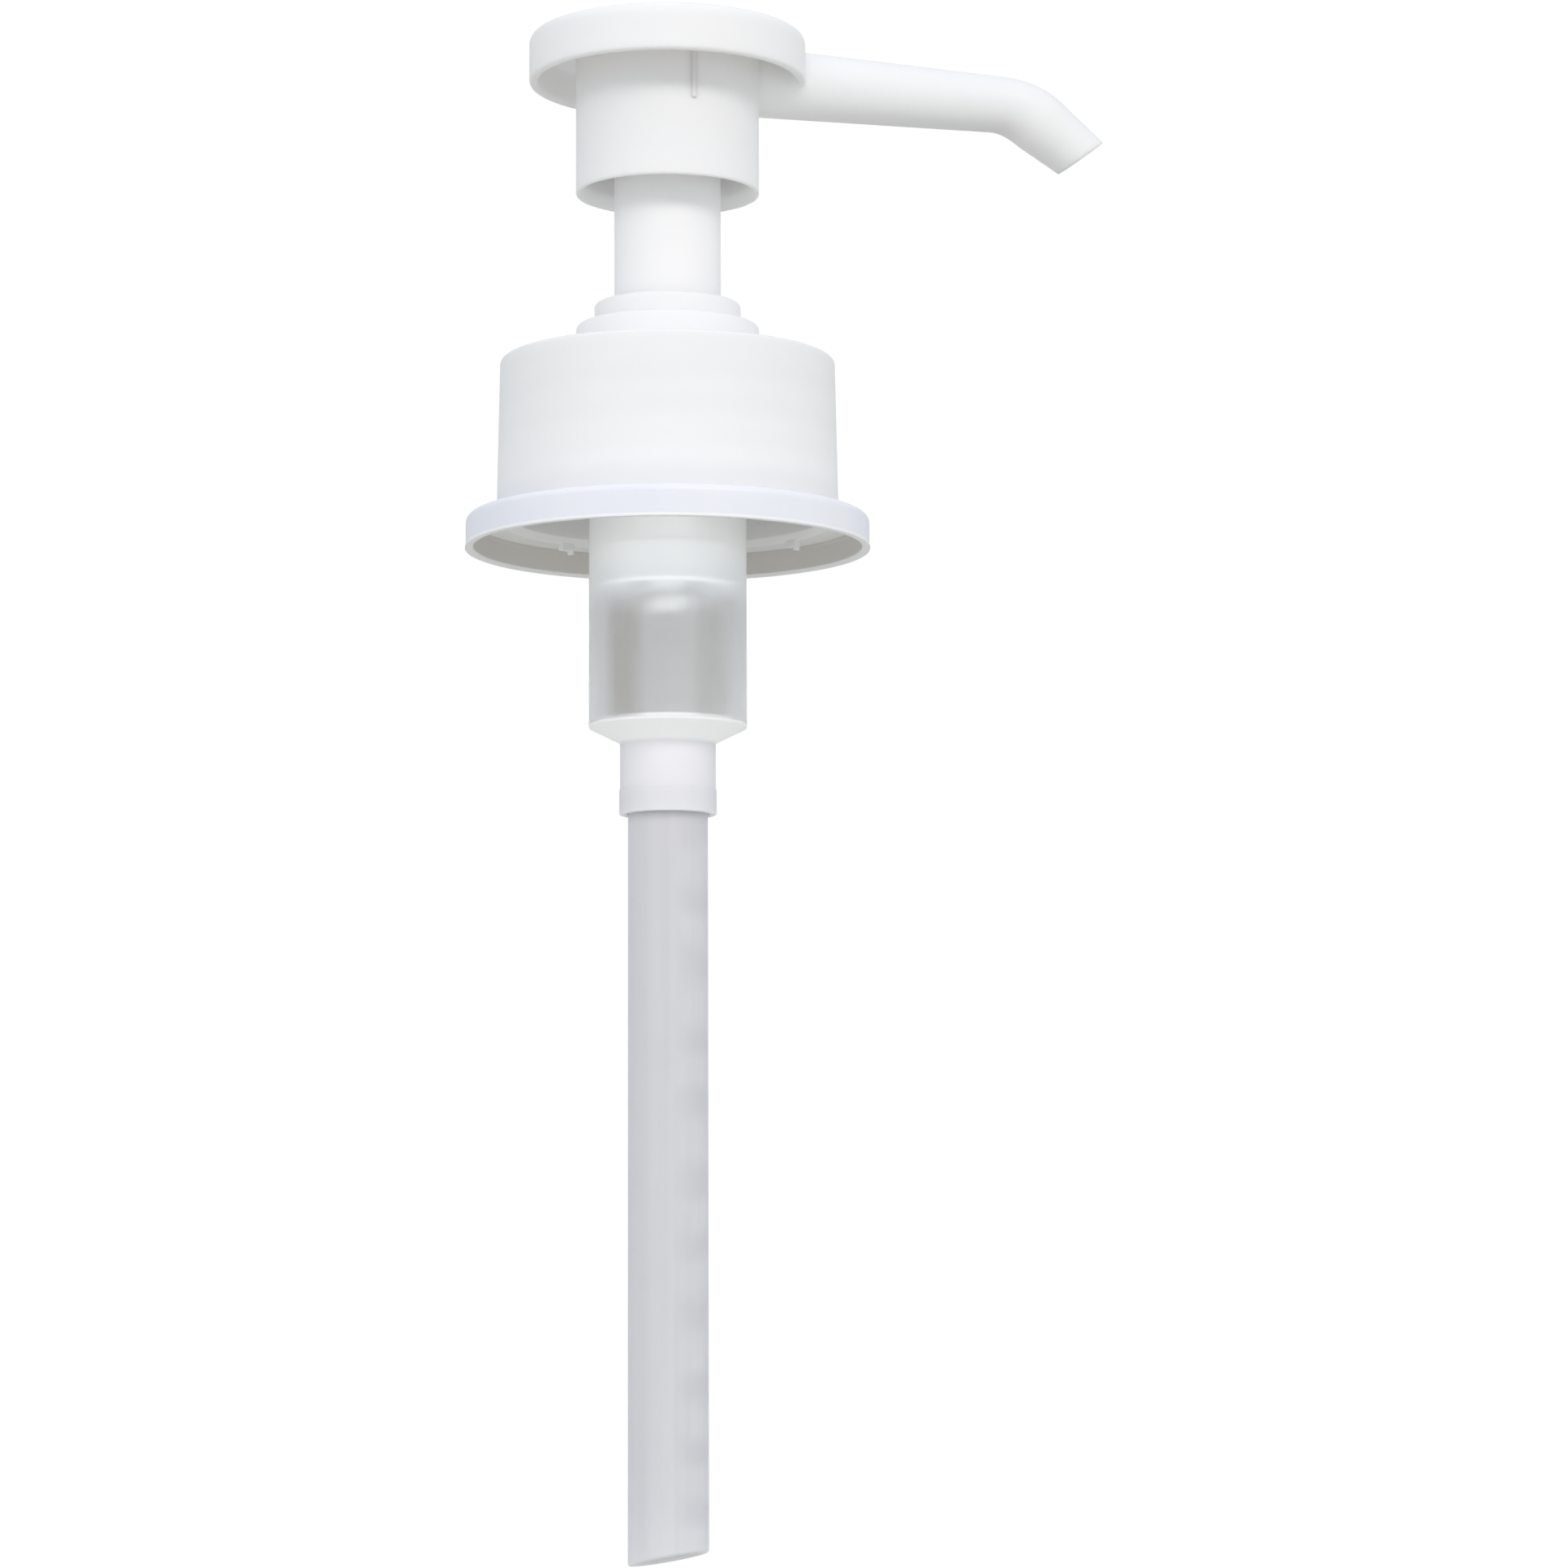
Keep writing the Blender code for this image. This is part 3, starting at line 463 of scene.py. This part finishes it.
# Darker clouds every 8.3 mm up one flank, at azimuth -50 degrees: partly painted
# reflection and shade on that side, partly the wall's own uneven thickness. The thin
# lines are random streaks in the plastic.
parts = tree.nodes.new("ShaderNodeSeparateXYZ")
tree.links.new(coords, parts.inputs[0])
flank = math_node(tree, 'ARCTAN2', parts.outputs["Y"], parts.outputs["X"])
flank = math_node(tree, 'MULTIPLY', math_node(tree, 'SUBTRACT', flank,
                                              math.radians(-50.0)), 1.0)
flank = remap(tree, math_node(tree, 'COSINE', flank), 0.64, 0.97, 0.0, 1.0)
wobble = math_node(tree, 'MULTIPLY', noise(tree, coords, 70.0, 2.0, 0.5), 5.0)
wave = math_node(tree, 'MULTIPLY', parts.outputs["Z"], 2 * math.pi / 0.0083)
wave = math_node(tree, 'ADD', math_node(tree, 'ADD', wave, wobble), 1.35)
cloud = math_node(tree, 'MULTIPLY', flank, remap(
    tree, math_node(tree, 'COSINE', wave), -0.6, 0.9, 0.2, 1.0))
lines = remap(tree, noise(tree, coords, 620.0, 2.0, 0.5, (1.0, 1.0, 0.012)),
              0.45, 0.70, 0.0, 0.35)
base = mix_colour(tree, cloud, base, (0.684, 0.676, 0.708))
tree.links.new(mix_colour(tree, lines, base, (0.66, 0.655, 0.69)),
               bsdf.inputs["Base Color"])
mat_cage = plastic("cage_plastic", (0.80, 0.80, 0.82), (0.77, 0.77, 0.79),
                   (0.4, 0.5), 200.0, sss=0.2)[0]
mat_stop = plastic("stop_plastic", (0.82, 0.82, 0.83), (0.79, 0.79, 0.80),
                   (0.4, 0.5), 200.0, sss=0.2)[0]
mat_spring = steel("spring_steel", (0.80, 0.80, 0.81), (0.50, 0.62))
mat_ball = steel("ball_steel", (0.70, 0.70, 0.71), (0.10, 0.18))


def finish_piece(obj, material, body, slot, *nodes):
    obj.data.materials.clear()
    obj.data.materials.append(material)
    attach(obj, body)
    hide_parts(*nodes)
    return obj


# ------------------------------------------------------------ actuator head
def spout_path(start, extra):
    z18, r18, x18 = 40.99, 4.24, 18.7
    pts, rad = [], []
    for x in np.concatenate([[start], np.linspace(max(start + 1, 8.5), 43.4, 14)]):
        pts.append((float(x), z18 - 0.0119 * (x - x18)))
        rad.append(r18 - 0.0251 * (x - x18))
    z0, r0 = pts[-1][1], rad[-1]
    bend = math.radians(35.5)
    for i in range(1, 15):
        a = bend * i / 14
        pts.append((43.4 + 10.8 * math.sin(a), z0 - 10.8 * (1 - math.cos(a))))
        s = i / 14
        rad.append(r0 + (3.95 - r0) * s * s * (3 - 2 * s))
    x, z = pts[-1]
    for run in (0.8, 1.6, 2.4, 3.2, 4.8, 6.4, 7.24, 7.24 + extra):
        pts.append((x + run * math.cos(bend), z - run * math.sin(bend)))
        rad.append(3.95 + (3.37 - 3.95) * run / 7.24)
    tip = (x + 7.24 * math.cos(bend), z - 7.24 * math.sin(bend))
    return pts, rad, tip


def make_head():
    plate = 44.4
    roof = 43.4
    corners = [
        (0, 45.9, 0), (17.3, 45.9, 1.1), (17.3, 39.84, 0.3),
        (16.2, 39.84, 0.3), (16.05, plate, 0.6), (11.44, plate, 0.5),
        (11.44, 25.62, 0.18), (11.09, 25.62, 0.2), (10.2, 27.22, 1.2),
        (10.05, plate, 0.6),
        (8.4, plate, 0.5), (8.3, 30.0, 0.3), (7.04, 30.0, 0.15),
        (6.75, 30.6, 0.2), (6.75, 38.15, 0.1), (5.0, 38.15, 0.15),
        (5.0, roof, 0.4), (0, roof, 0)]
    outline = rounded(corners, closed=False)
    head = lathe("actuator_head_fine", outline, 144, closed=False)
    pts, rad, tip = spout_path(7.5, 5.0)
    arm = sweep_xz("arm", pts, rad, 56)
    combine(head, [arm], 'UNION')
    bore_pts = [(2.0, pts[0][1])] + pts[1:]
    bore_rad = list(np.linspace(2.5, 2.15, len(bore_pts)))
    bore = sweep_xz("bore", bore_pts, bore_rad, 36)
    chamber = lathe("chamber", [(0, roof - 0.3), (4.98, roof - 0.3),
                                (4.98, 37.0), (0, 37.0)], 144, closed=False)
    normal = Vector((math.cos(math.radians(52.9)), 0,
                     -math.sin(math.radians(52.9))))
    cut = box_object("cut", (14, 14, 14),
                     Vector((tip[0], 0, tip[1])) + normal * 7.0,
                     (0, math.radians(52.9), 0))
    combine(head, [bore, chamber, cut], 'DIFFERENCE')
    exact = bpy.data.objects.new("head_exact", head.data.copy())
    scene.collection.objects.link(exact)
    remesh = head.modifiers.new("r", 'REMESH')
    remesh.mode = 'VOXEL'
    remesh.voxel_size = 0.00034
    remesh.adaptivity = 0.0
    remesh.use_smooth_shade = True
    wrap = head.modifiers.new("w", 'SHRINKWRAP')
    wrap.wrap_method = 'NEAREST_SURFACEPOINT'
    wrap.target = exact
    smooth = head.modifiers.new("s", 'SMOOTH')
    smooth.factor = 0.5
    smooth.iterations = 2
    apply_all(head)
    bpy.data.objects.remove(exact, do_unlink=True)
    head.data.shade_smooth()
    bm = bmesh.new()
    bm.from_mesh(head.data)
    for side in (-1, 1):
        rib = box_object("rib", (0.55, 0.9, 9.4), (0, 0, 0), bevel=0.14)
        rib.data.transform(Matrix.Translation(
            Vector((0, side * (11.44 + 0.25 - 0.45), 40.1)) * MM))
        body_faces = set(bm.faces)
        bm.from_mesh(rib.data)
        for face in bm.faces:
            if face not in body_faces:
                face.material_index = 1
        bpy.data.objects.remove(rib, do_unlink=True)
    bm.to_mesh(head.data)
    bm.free()
    finish_piece(head, mat_head, "head", "head", "actuator_head")
    head.data.materials.append(mat_rib)


# ------------------------------------------------------------ turned pieces
def turned_piece(name, corners, segments, material, body, slot, cad_node,
                 longest=None):
    outline = rounded(corners)
    if longest:
        outline = split_long(outline, longest)
    obj = lathe(name, outline, segments)
    weighted(obj)
    return finish_piece(obj, material, body, slot, cad_node)


def make_turned():
    turned_piece("stem_fine", [
        (5.5, 38.0, 0.1), (6.64, 38.0, 0.35), (6.64, -10.7, 0.2),
        (5.2, -10.7, 0.1), (5.2, 37.7, 0)], 128, mat_stem, "plunger", "stem",
        "stem", 2.0)
    turned_piece("piston_rod_fine", [
        (3.2, 6.0, 0.1), (5.05, 6.0, 0.3), (5.05, -10.9, 0.15),
        (8.0, -10.9, 0.25), (8.0, -12.4, 0.25), (5.05, -12.4, 0.3),
        (5.05, -17.9, 0.1), (5.9, -18.1, 0.1), (5.9, -18.55, 0.1),
        (5.0, -18.6, 0), (5.0, -20.1, 0.2), (3.0, -20.1, 0.3),
        (3.0, -27.3, 0.45), (2.1, -27.3, 0.15), (2.1, -3.0, 0.1),
        (1.6, -3.5, 0.1), (1.6, -1.0, 0.1), (3.2, 0.6, 0.1)], 96, mat_rod,
        "plunger", "rod", "piston_rod", 2.5)
    turned_piece("piston_seal_fine", [
        (8.42, -18.74, 0.1), (8.72, -19.14, 0.15), (8.60, -20.34, 0.4),
        (8.60, -22.59, 0.4), (8.72, -23.79, 0.15), (8.47, -24.19, 0.1),
        (7.87, -24.19, 0.15), (7.67, -22.3, 0.4), (6.3, -22.3, 0.3),
        (6.3, -22.9, 0.1), (5.15, -22.9, 0.1), (5.15, -18.74, 0.1),
        (6.3, -18.74, 0.1), (6.3, -20.6, 0.3), (7.67, -20.6, 0.4),
        (7.87, -18.74, 0.1)], 128, mat_piston, "plunger", "piston",
        "piston_seal")
    turned_piece("guide_bush_fine", [
        (8.0, 11.68, 0.1), (9.1, 11.68, 0.45), (9.1, 9.1, 0.12),
        (8.7, 9.1, 0.1), (8.7, -10.6, 0.4), (7.0, -10.6, 0.2),
        (6.8, -10.1, 0.2), (6.8, 10.18, 0.1), (8.0, 10.18, 0.1)], 128,
        mat_bush, "housing", "bush", "guide_bush", 2.5)
    turned_piece("stem_wiper_fine", [
        (6.99, 11.5, 0.1), (7.85, 11.5, 0.15), (7.85, 10.3, 0.1),
        (7.09, 10.3, 0.1), (6.74, 10.65, 0.1), (6.74, 11.15, 0.1)], 96,
        mat_wiper, "housing", "wiper", "stem_wiper")
    turned_piece("retaining_nut_fine", [
        (8.85, 8.95, 0.1), (11.4, 8.95, 0.6), (11.4, 4.75, 0.2),
        (9.9, 4.75, 0.1), (9.9, 6.8, 0.1), (8.85, 6.8, 0.1)], 144, mat_nut,
        "housing", "nut", "retaining_nut")
    turned_piece("neck_gasket_fine", [
        (10.0, 1.1, 0.15), (17.8, 1.1, 0.2), (17.8, 0.0, 0.2),
        (10.0, 0.0, 0.15)], 128, mat_gasket, "housing", "gasket",
        "neck_gasket", 1.2)
    turned_piece("cylinder_fine", [
        (8.85, 6.6, 0.15), (9.75, 6.6, 0.2), (9.75, 2.75, 0.2),
        (17.6, 2.75, 0.25), (17.6, 1.25, 0.25), (9.75, 1.25, 0.2),
        (9.75, -41.03, 0), (8.85, -41.03, 0)], 160, mat_cylinder,
        "housing", "cylinder", "cylinder", 2.5)
    cylinder = bpy.data.objects["cylinder_fine"]
    cylinder.visible_diffuse = False
    cylinder.visible_shadow = False
    turned_piece("foot_valve_housing_fine", [
        (7.9, -40.55, 0.1), (8.7, -40.55, 0.15), (8.7, -41.05, 0.08),
        (9.75, -41.05, 0), (9.75, -41.4, 0.12), (5.9, -43.3, 0.35),
        (5.9, -48.9, 0.1), (6.0, -49.25, 0.1), (6.0, -52.2, 0.2),
        (5.17, -52.2, 0.1), (5.02, -51.9, 0.1), (5.02, -49.4, 0.1),
        (1.2, -49.4, 0.1), (1.2, -48.6, 0.1), (3.0, -46.8, 0.2),
        (3.0, -43.65, 0.1), (4.6, -43.65, 0.1), (4.6, -41.05, 0.2),
        (7.9, -41.05, 0.1)], 144, mat_foot, "housing", "foot",
        "foot_valve_housing")


def pierced(name, radius, low, high, hole, ring, count, material, body, slot,
            cad_node):
    obj = lathe(name, rounded([(hole, high, 0.1), (radius, high, 0.15),
                               (radius, low, 0.15), (hole, low, 0.1)]), 72)
    for i in range(count):
        a = 2 * math.pi * (i + 0.5) / count + 0.03
        port = lathe("port", [(0, high + 0.5), (0.75, high + 0.5),
                              (0.75, low - 0.5), (0, low - 0.5)], 24,
                     closed=False)
        port.location = (ring * math.cos(a) * MM, ring * math.sin(a) * MM, 0)
        combine(obj, [port], 'DIFFERENCE')
    obj.data.set_sharp_from_angle(angle=math.radians(38))
    return finish_piece(obj, material, body, slot, cad_node)


def make_ball(name, radius, z, body, slot, cad_node):
    mesh = bpy.data.meshes.new(name)
    bm = bmesh.new()
    bmesh.ops.create_icosphere(bm, subdivisions=4, radius=radius * MM)
    bmesh.ops.translate(bm, vec=(0, 0, z * MM), verts=bm.verts)
    bm.to_mesh(mesh)
    bm.free()
    mesh.shade_smooth()
    obj = bpy.data.objects.new(name, mesh)
    scene.collection.objects.link(obj)
    return finish_piece(obj, mat_ball, body, slot, cad_node)


# ------------------------------------------------------------------ closure
def make_thread():
    """Internal thread, 1.5 turns, fading in and out at its ends."""
    pitch, turns, per = 4.233, 1.5, 96
    count = int(per * turns)
    verts, faces = [], []
    for i in range(count + 1):
        t = i / count
        fade = min(1.0, min(t, 1 - t) / 0.07)
        fade = max(0.02, math.sin(fade * math.pi / 2))
        a = 2 * math.pi * turns * t
        z = -3.0 - pitch * turns * t
        crest = 19.05 - 1.0 * fade
        for r, dz in ((19.35, 1.3), (19.0, 1.1), (crest + 0.12, 0.5),
                      (crest, 0.3), (crest, -0.3), (crest + 0.12, -0.5),
                      (19.0, -1.1), (19.35, -1.3)):
            verts.append((r * math.cos(a) * MM, r * math.sin(a) * MM,
                          (z + dz) * MM))
    k = 8
    for i in range(count):
        for j in range(k):
            j2 = (j + 1) % k
            faces.append([i * k + j, i * k + j2, (i + 1) * k + j2,
                          (i + 1) * k + j])
    faces.append(list(range(k)))
    faces.append([count * k + j for j in range(k)])
    return mesh_object("thread", verts, faces)


def make_closure():
    outline = rounded([
        (10.1, 4.48, 0.2), (20.8, 4.48, 0.55), (21.2, -14.95, 0.15),
        (20.4, -14.95, 0.1), (20.4, -12.2, 0.1), (19.05, -12.2, 0.15),
        (19.05, 2.9, 0.5), (10.1, 2.9, 0.15)])
    cap = lathe("screw_cap_fine", split_long(outline, 3.0), 180)
    combine(cap, [make_thread()], 'UNION')
    cap.data.set_sharp_from_angle(angle=math.radians(38))
    weighted(cap)
    finish_piece(cap, mat_cap, "closure", "cap", "screw_cap")

    outline = rounded([
        (19.3, -12.5, 0.15), (20.05, -12.5, 0.1), (20.25, -12.8, 0.1),
        (20.25, -15.08, 0.15), (25.0, -15.08, 0.9), (25.0, -18.76, 0.1),
        (25.1, -18.91, 0.05), (25.1, -19.11, 0.05), (24.1, -19.11, 0.3),
        (24.0, -16.0, 0.5), (20.25, -16.0, 0.2), (19.3, -15.2, 0.15)])
    ring = lathe("skirt_ring_fine", outline, 180)
    lugs = []
    for i in range(4):
        a = math.radians(22.5 + 90 * i)
        for along, wide, deep, low in ((0.0, 1.9, 0.9, -16.7),
                                       (-0.68, 0.5, 0.8, -17.15)):
            high = -15.7 + 0.05 * deep
            lugs.append(box_object(
                "lug%d" % len(lugs), (deep, wide, high - low),
                (20.4 * math.cos(a) - along * math.sin(a),
                 20.4 * math.sin(a) + along * math.cos(a), (low + high) / 2),
                (0, 0, a), bevel=0.08))
    combine(ring, lugs, 'UNION')
    ring.data.set_sharp_from_angle(angle=math.radians(38))
    weighted(ring)
    finish_piece(ring, mat_skirt, "closure", "skirt", "skirt_ring")


# -------------------------------------------------------- dip tube, spring
def make_tube():
    outline = split_long(rounded([
        (3.9, -49.6, 0.15), (4.92, -49.6, 0.25), (4.92, -142.8, 0.3),
        (3.9, -142.8, 0.3)]), 2.0)
    tube = lathe("dip_tube_fine", outline, 112)
    slope, az = 0.205, math.radians(-50.0)
    co = np.empty(len(tube.data.vertices) * 3)
    tube.data.vertices.foreach_get("co", co)
    co = co.reshape(-1, 3)
    share = np.clip((-0.1305 - co[:, 2]) / 0.0115, 0, 1)
    share = share * share * (3 - 2 * share)
    rise = slope * (co[:, 0] * math.cos(az) + co[:, 1] * math.sin(az))
    co[:, 2] += rise * share
    tube.data.vertices.foreach_set("co", co.ravel())
    tube.data.update()
    weighted(tube)
    finish_piece(tube, mat_tube, "housing", "tube", "dip_tube")


def make_spring():
    per, coils, sides = 40, 9.0, 14
    low, high = -42.4 + 0.3, -20.3 - 0.3
    closed = 0.72
    pitch = (high - low - 2 * closed) / (coils - 2)
    count = int(per * coils)
    verts, faces = [], []
    for i in range(count + 1):
        turn = i / per
        if turn < 1:
            z = low + closed * turn
        elif turn > coils - 1:
            z = high - closed * (coils - turn)
        else:
            z = low + closed + pitch * (turn - 1)
        a = 2 * math.pi * turn
        radial = Vector((math.cos(a), math.sin(a), 0))
        centre = radial * 3.6 + Vector((0, 0, z))
        for k in range(sides):
            t = 2 * math.pi * k / sides
            p = centre + radial * (0.3 * math.cos(t)) + Vector(
                (0, 0, 0.3 * math.sin(t)))
            verts.append(p * MM)
    for i in range(count):
        for k in range(sides):
            k2 = (k + 1) % sides
            faces.append([i * sides + k, i * sides + k2,
                          (i + 1) * sides + k2, (i + 1) * sides + k])
    faces.append(list(range(sides)))
    faces.append([count * sides + k for k in range(sides)])
    spring = mesh_object("return_spring_fine", verts, faces, 60)
    finish_piece(spring, mat_spring, "housing", "spring", "return_spring")
    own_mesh(spring)


make_head()
make_turned()
make_closure()
make_tube()
make_spring()
pierced("outlet_ball_stop_fine", 5.1, 6.15, 7.4, 1.2, 3.1, 6, mat_stop,
        "plunger", "stop", "outlet_ball_stop")
pierced("inlet_ball_cage_fine", 4.45, -43.5, -42.6, 1.1, 2.35, 6, mat_cage,
        "housing", "cage", "inlet_ball_cage")
make_ball("outlet_ball_fine", 2.4, 0.936, "outlet_valve", "outlet_ball",
          "outlet_ball")
make_ball("inlet_ball_fine", 2.0, -46.83, "inlet_valve", "inlet_ball",
          "inlet_ball")


# ------------------------------------------------------- camera, light, stage
def make_camera():
    az, el, roll = math.radians(-18.0), math.radians(-6.6), math.radians(-0.2)
    back = Vector((math.sin(az) * math.cos(el), -math.cos(az) * math.cos(el),
                   math.sin(el)))
    right = Vector((math.cos(az), math.sin(az), 0.0))
    cam = bpy.data.objects.new("camera", bpy.data.cameras.new("camera"))
    scene.collection.objects.link(cam)
    cam.data.sensor_width = 36.0
    cam.data.lens = 36.0 * 6000.0 / 1932.0
    cam.data.clip_start, cam.data.clip_end = 0.01, 20.0
    cam.location = Vector((0, 0, -48.4 * MM)) + right * (14.3 * MM) + back * 0.6
    q = (-back).to_track_quat("-Z", "Y")
    cam.rotation_mode = "QUATERNION"
    cam.rotation_quaternion = q @ Matrix.Rotation(roll, 3, 'Z').to_quaternion()
    scene.camera = cam


def area(name, location, target, size, power, colour, only=(), height=0.0):
    light = bpy.data.lights.new(name, 'AREA')
    light.shape = 'RECTANGLE' if height else 'DISK'
    light.size = size
    if height:
        light.size_y = height
    light.energy = power
    light.color = colour
    obj = bpy.data.objects.new(name, light)
    scene.collection.objects.link(obj)
    obj.location = location
    obj.rotation_mode = "QUATERNION"
    obj.rotation_quaternion = (Vector(target) - Vector(location)).to_track_quat(
        "-Z", "Y")
    obj.visible_camera = False
    obj.visible_transmission = False
    if only:
        lit = bpy.data.collections.new(name + "_lit")
        for piece in only:
            lit.objects.link(bpy.data.objects[piece])
        obj.light_linking.receiver_collection = lit
        obj.light_linking.blocker_collection = lit
    return obj


def make_world():
    world = bpy.data.worlds.new("studio")
    scene.world = world
    world.use_nodes = True
    tree = world.node_tree
    tree.nodes.clear()
    out = tree.nodes.new("ShaderNodeOutputWorld")
    path = tree.nodes.new("ShaderNodeLightPath")
    seen = tree.nodes.new("ShaderNodeBackground")
    seen.inputs["Color"].default_value = (1.02, 1.02, 1.02, 1.0)
    lit = tree.nodes.new("ShaderNodeBackground")
    coords = tree.nodes.new("ShaderNodeTexCoord")
    parts = tree.nodes.new("ShaderNodeSeparateXYZ")
    tree.links.new(coords.outputs["Generated"], parts.inputs[0])
    up = remap(tree, parts.outputs["Z"], -1.0, 1.0, 0.0, 1.0)
    ramp = tree.nodes.new("ShaderNodeValToRGB")
    tree.links.new(up, ramp.inputs[0])
    for place, tone in ((0.0, (0.42, 0.43, 0.41)), (0.13, (0.60, 0.61, 0.59)),
                        (0.32, (0.97, 0.98, 0.95)), (0.45, (0.675, 0.70, 0.73)),
                        (1.0, (0.57, 0.61, 0.655))):
        stop = (ramp.color_ramp.elements[0] if place == 0.0 else
                ramp.color_ramp.elements[-1] if place == 1.0 else
                ramp.color_ramp.elements.new(place))
        stop.color = (*tone, 1.0)
    through = mix_colour(tree, up, (0.42, 0.418, 0.402), (0.35, 0.349, 0.341))
    room = mix_colour(tree, path.outputs["Is Transmission Ray"],
                      ramp.outputs[0], through)
    tree.links.new(room, lit.inputs["Color"])
    mix = tree.nodes.new("ShaderNodeMixShader")
    tree.links.new(path.outputs["Is Camera Ray"], mix.inputs[0])
    tree.links.new(lit.outputs[0], mix.inputs[1])
    tree.links.new(seen.outputs[0], mix.inputs[2])
    tree.links.new(mix.outputs[0], out.inputs["Surface"])


def make_floor():
    mesh = bpy.data.meshes.new("floor")
    bm = bmesh.new()
    bmesh.ops.create_grid(bm, x_segments=24, y_segments=24, size=4.0)
    bm.to_mesh(mesh)
    bm.free()
    floor = bpy.data.objects.new("floor", mesh)
    scene.collection.objects.link(floor)
    floor.location = (0, 0, -0.42)
    floor.visible_diffuse = False
    floor.visible_glossy = False
    floor.visible_transmission = False
    mat, tree, bsdf, coords, base = plastic(
        "floor_paper", (0.96, 0.96, 0.96), (0.95, 0.95, 0.95), (0.8, 0.9),
        2.0, 60.0, 0.02)
    bsdf.inputs["Emission Color"].default_value = (1, 1, 1, 1)
    bsdf.inputs["Emission Strength"].default_value = 0.55
    floor.data.materials.append(mat)


make_camera()
make_world()
make_floor()
area("key", (0.02, -0.80, 0.52), (0.0, 0.0, -0.02), 1.15, 3.1,
     (1.0, 0.953, 0.928), height=0.20)
area("fill", (-0.64, -0.46, 0.40), (0.0, 0.0, -0.02), 0.6, 0.8,
     (0.98, 0.985, 1.0), height=0.2)
area("low", (-0.35, -0.50, -0.50), (0.0, 0.0, -0.0), 0.6, 0.55,
     (0.99, 1.0, 0.98))
area("side", (0.72, -0.30, -0.02), (0.0, 0.0, 0.0), 0.5, 0.25,
     (0.94, 0.97, 1.0))
area("through_wall", (-0.15, -0.42, -0.12), (0.0, 0.0, -0.025), 1.2, 1.15,
     (0.95, 0.975, 1.0), ("piston_seal_fine",))
area("on_wall", (-0.15, -0.42, -0.12), (0.0, 0.0, -0.025), 1.2, 2.9,
     (0.985, 0.993, 1.0), ("cylinder_fine",))
area("under_foot", (-0.08, -0.30, -0.50), (0.0, 0.0, -0.045), 0.4, 0.65,
     (1.0, 1.0, 1.0), ("foot_valve_housing_fine",))
area("through_rod", (-0.12, -0.42, -0.06), (0.0, 0.0, -0.02), 0.6, 1.55,
     (0.95, 0.975, 1.0), ("piston_rod_fine",))
area("through_foot", (-0.04, -0.12, -0.42), (0.0, 0.0, -0.025), 0.3, 0.9,
     (0.96, 0.98, 1.0), ("piston_seal_fine",))
area("top", (-0.15, -0.1, 0.8), (0.0, 0.0, 0.0), 0.6, 0.5,
     (0.97, 0.985, 1.0))

scene.view_settings.view_transform = 'Standard'
scene.view_settings.look = 'None'
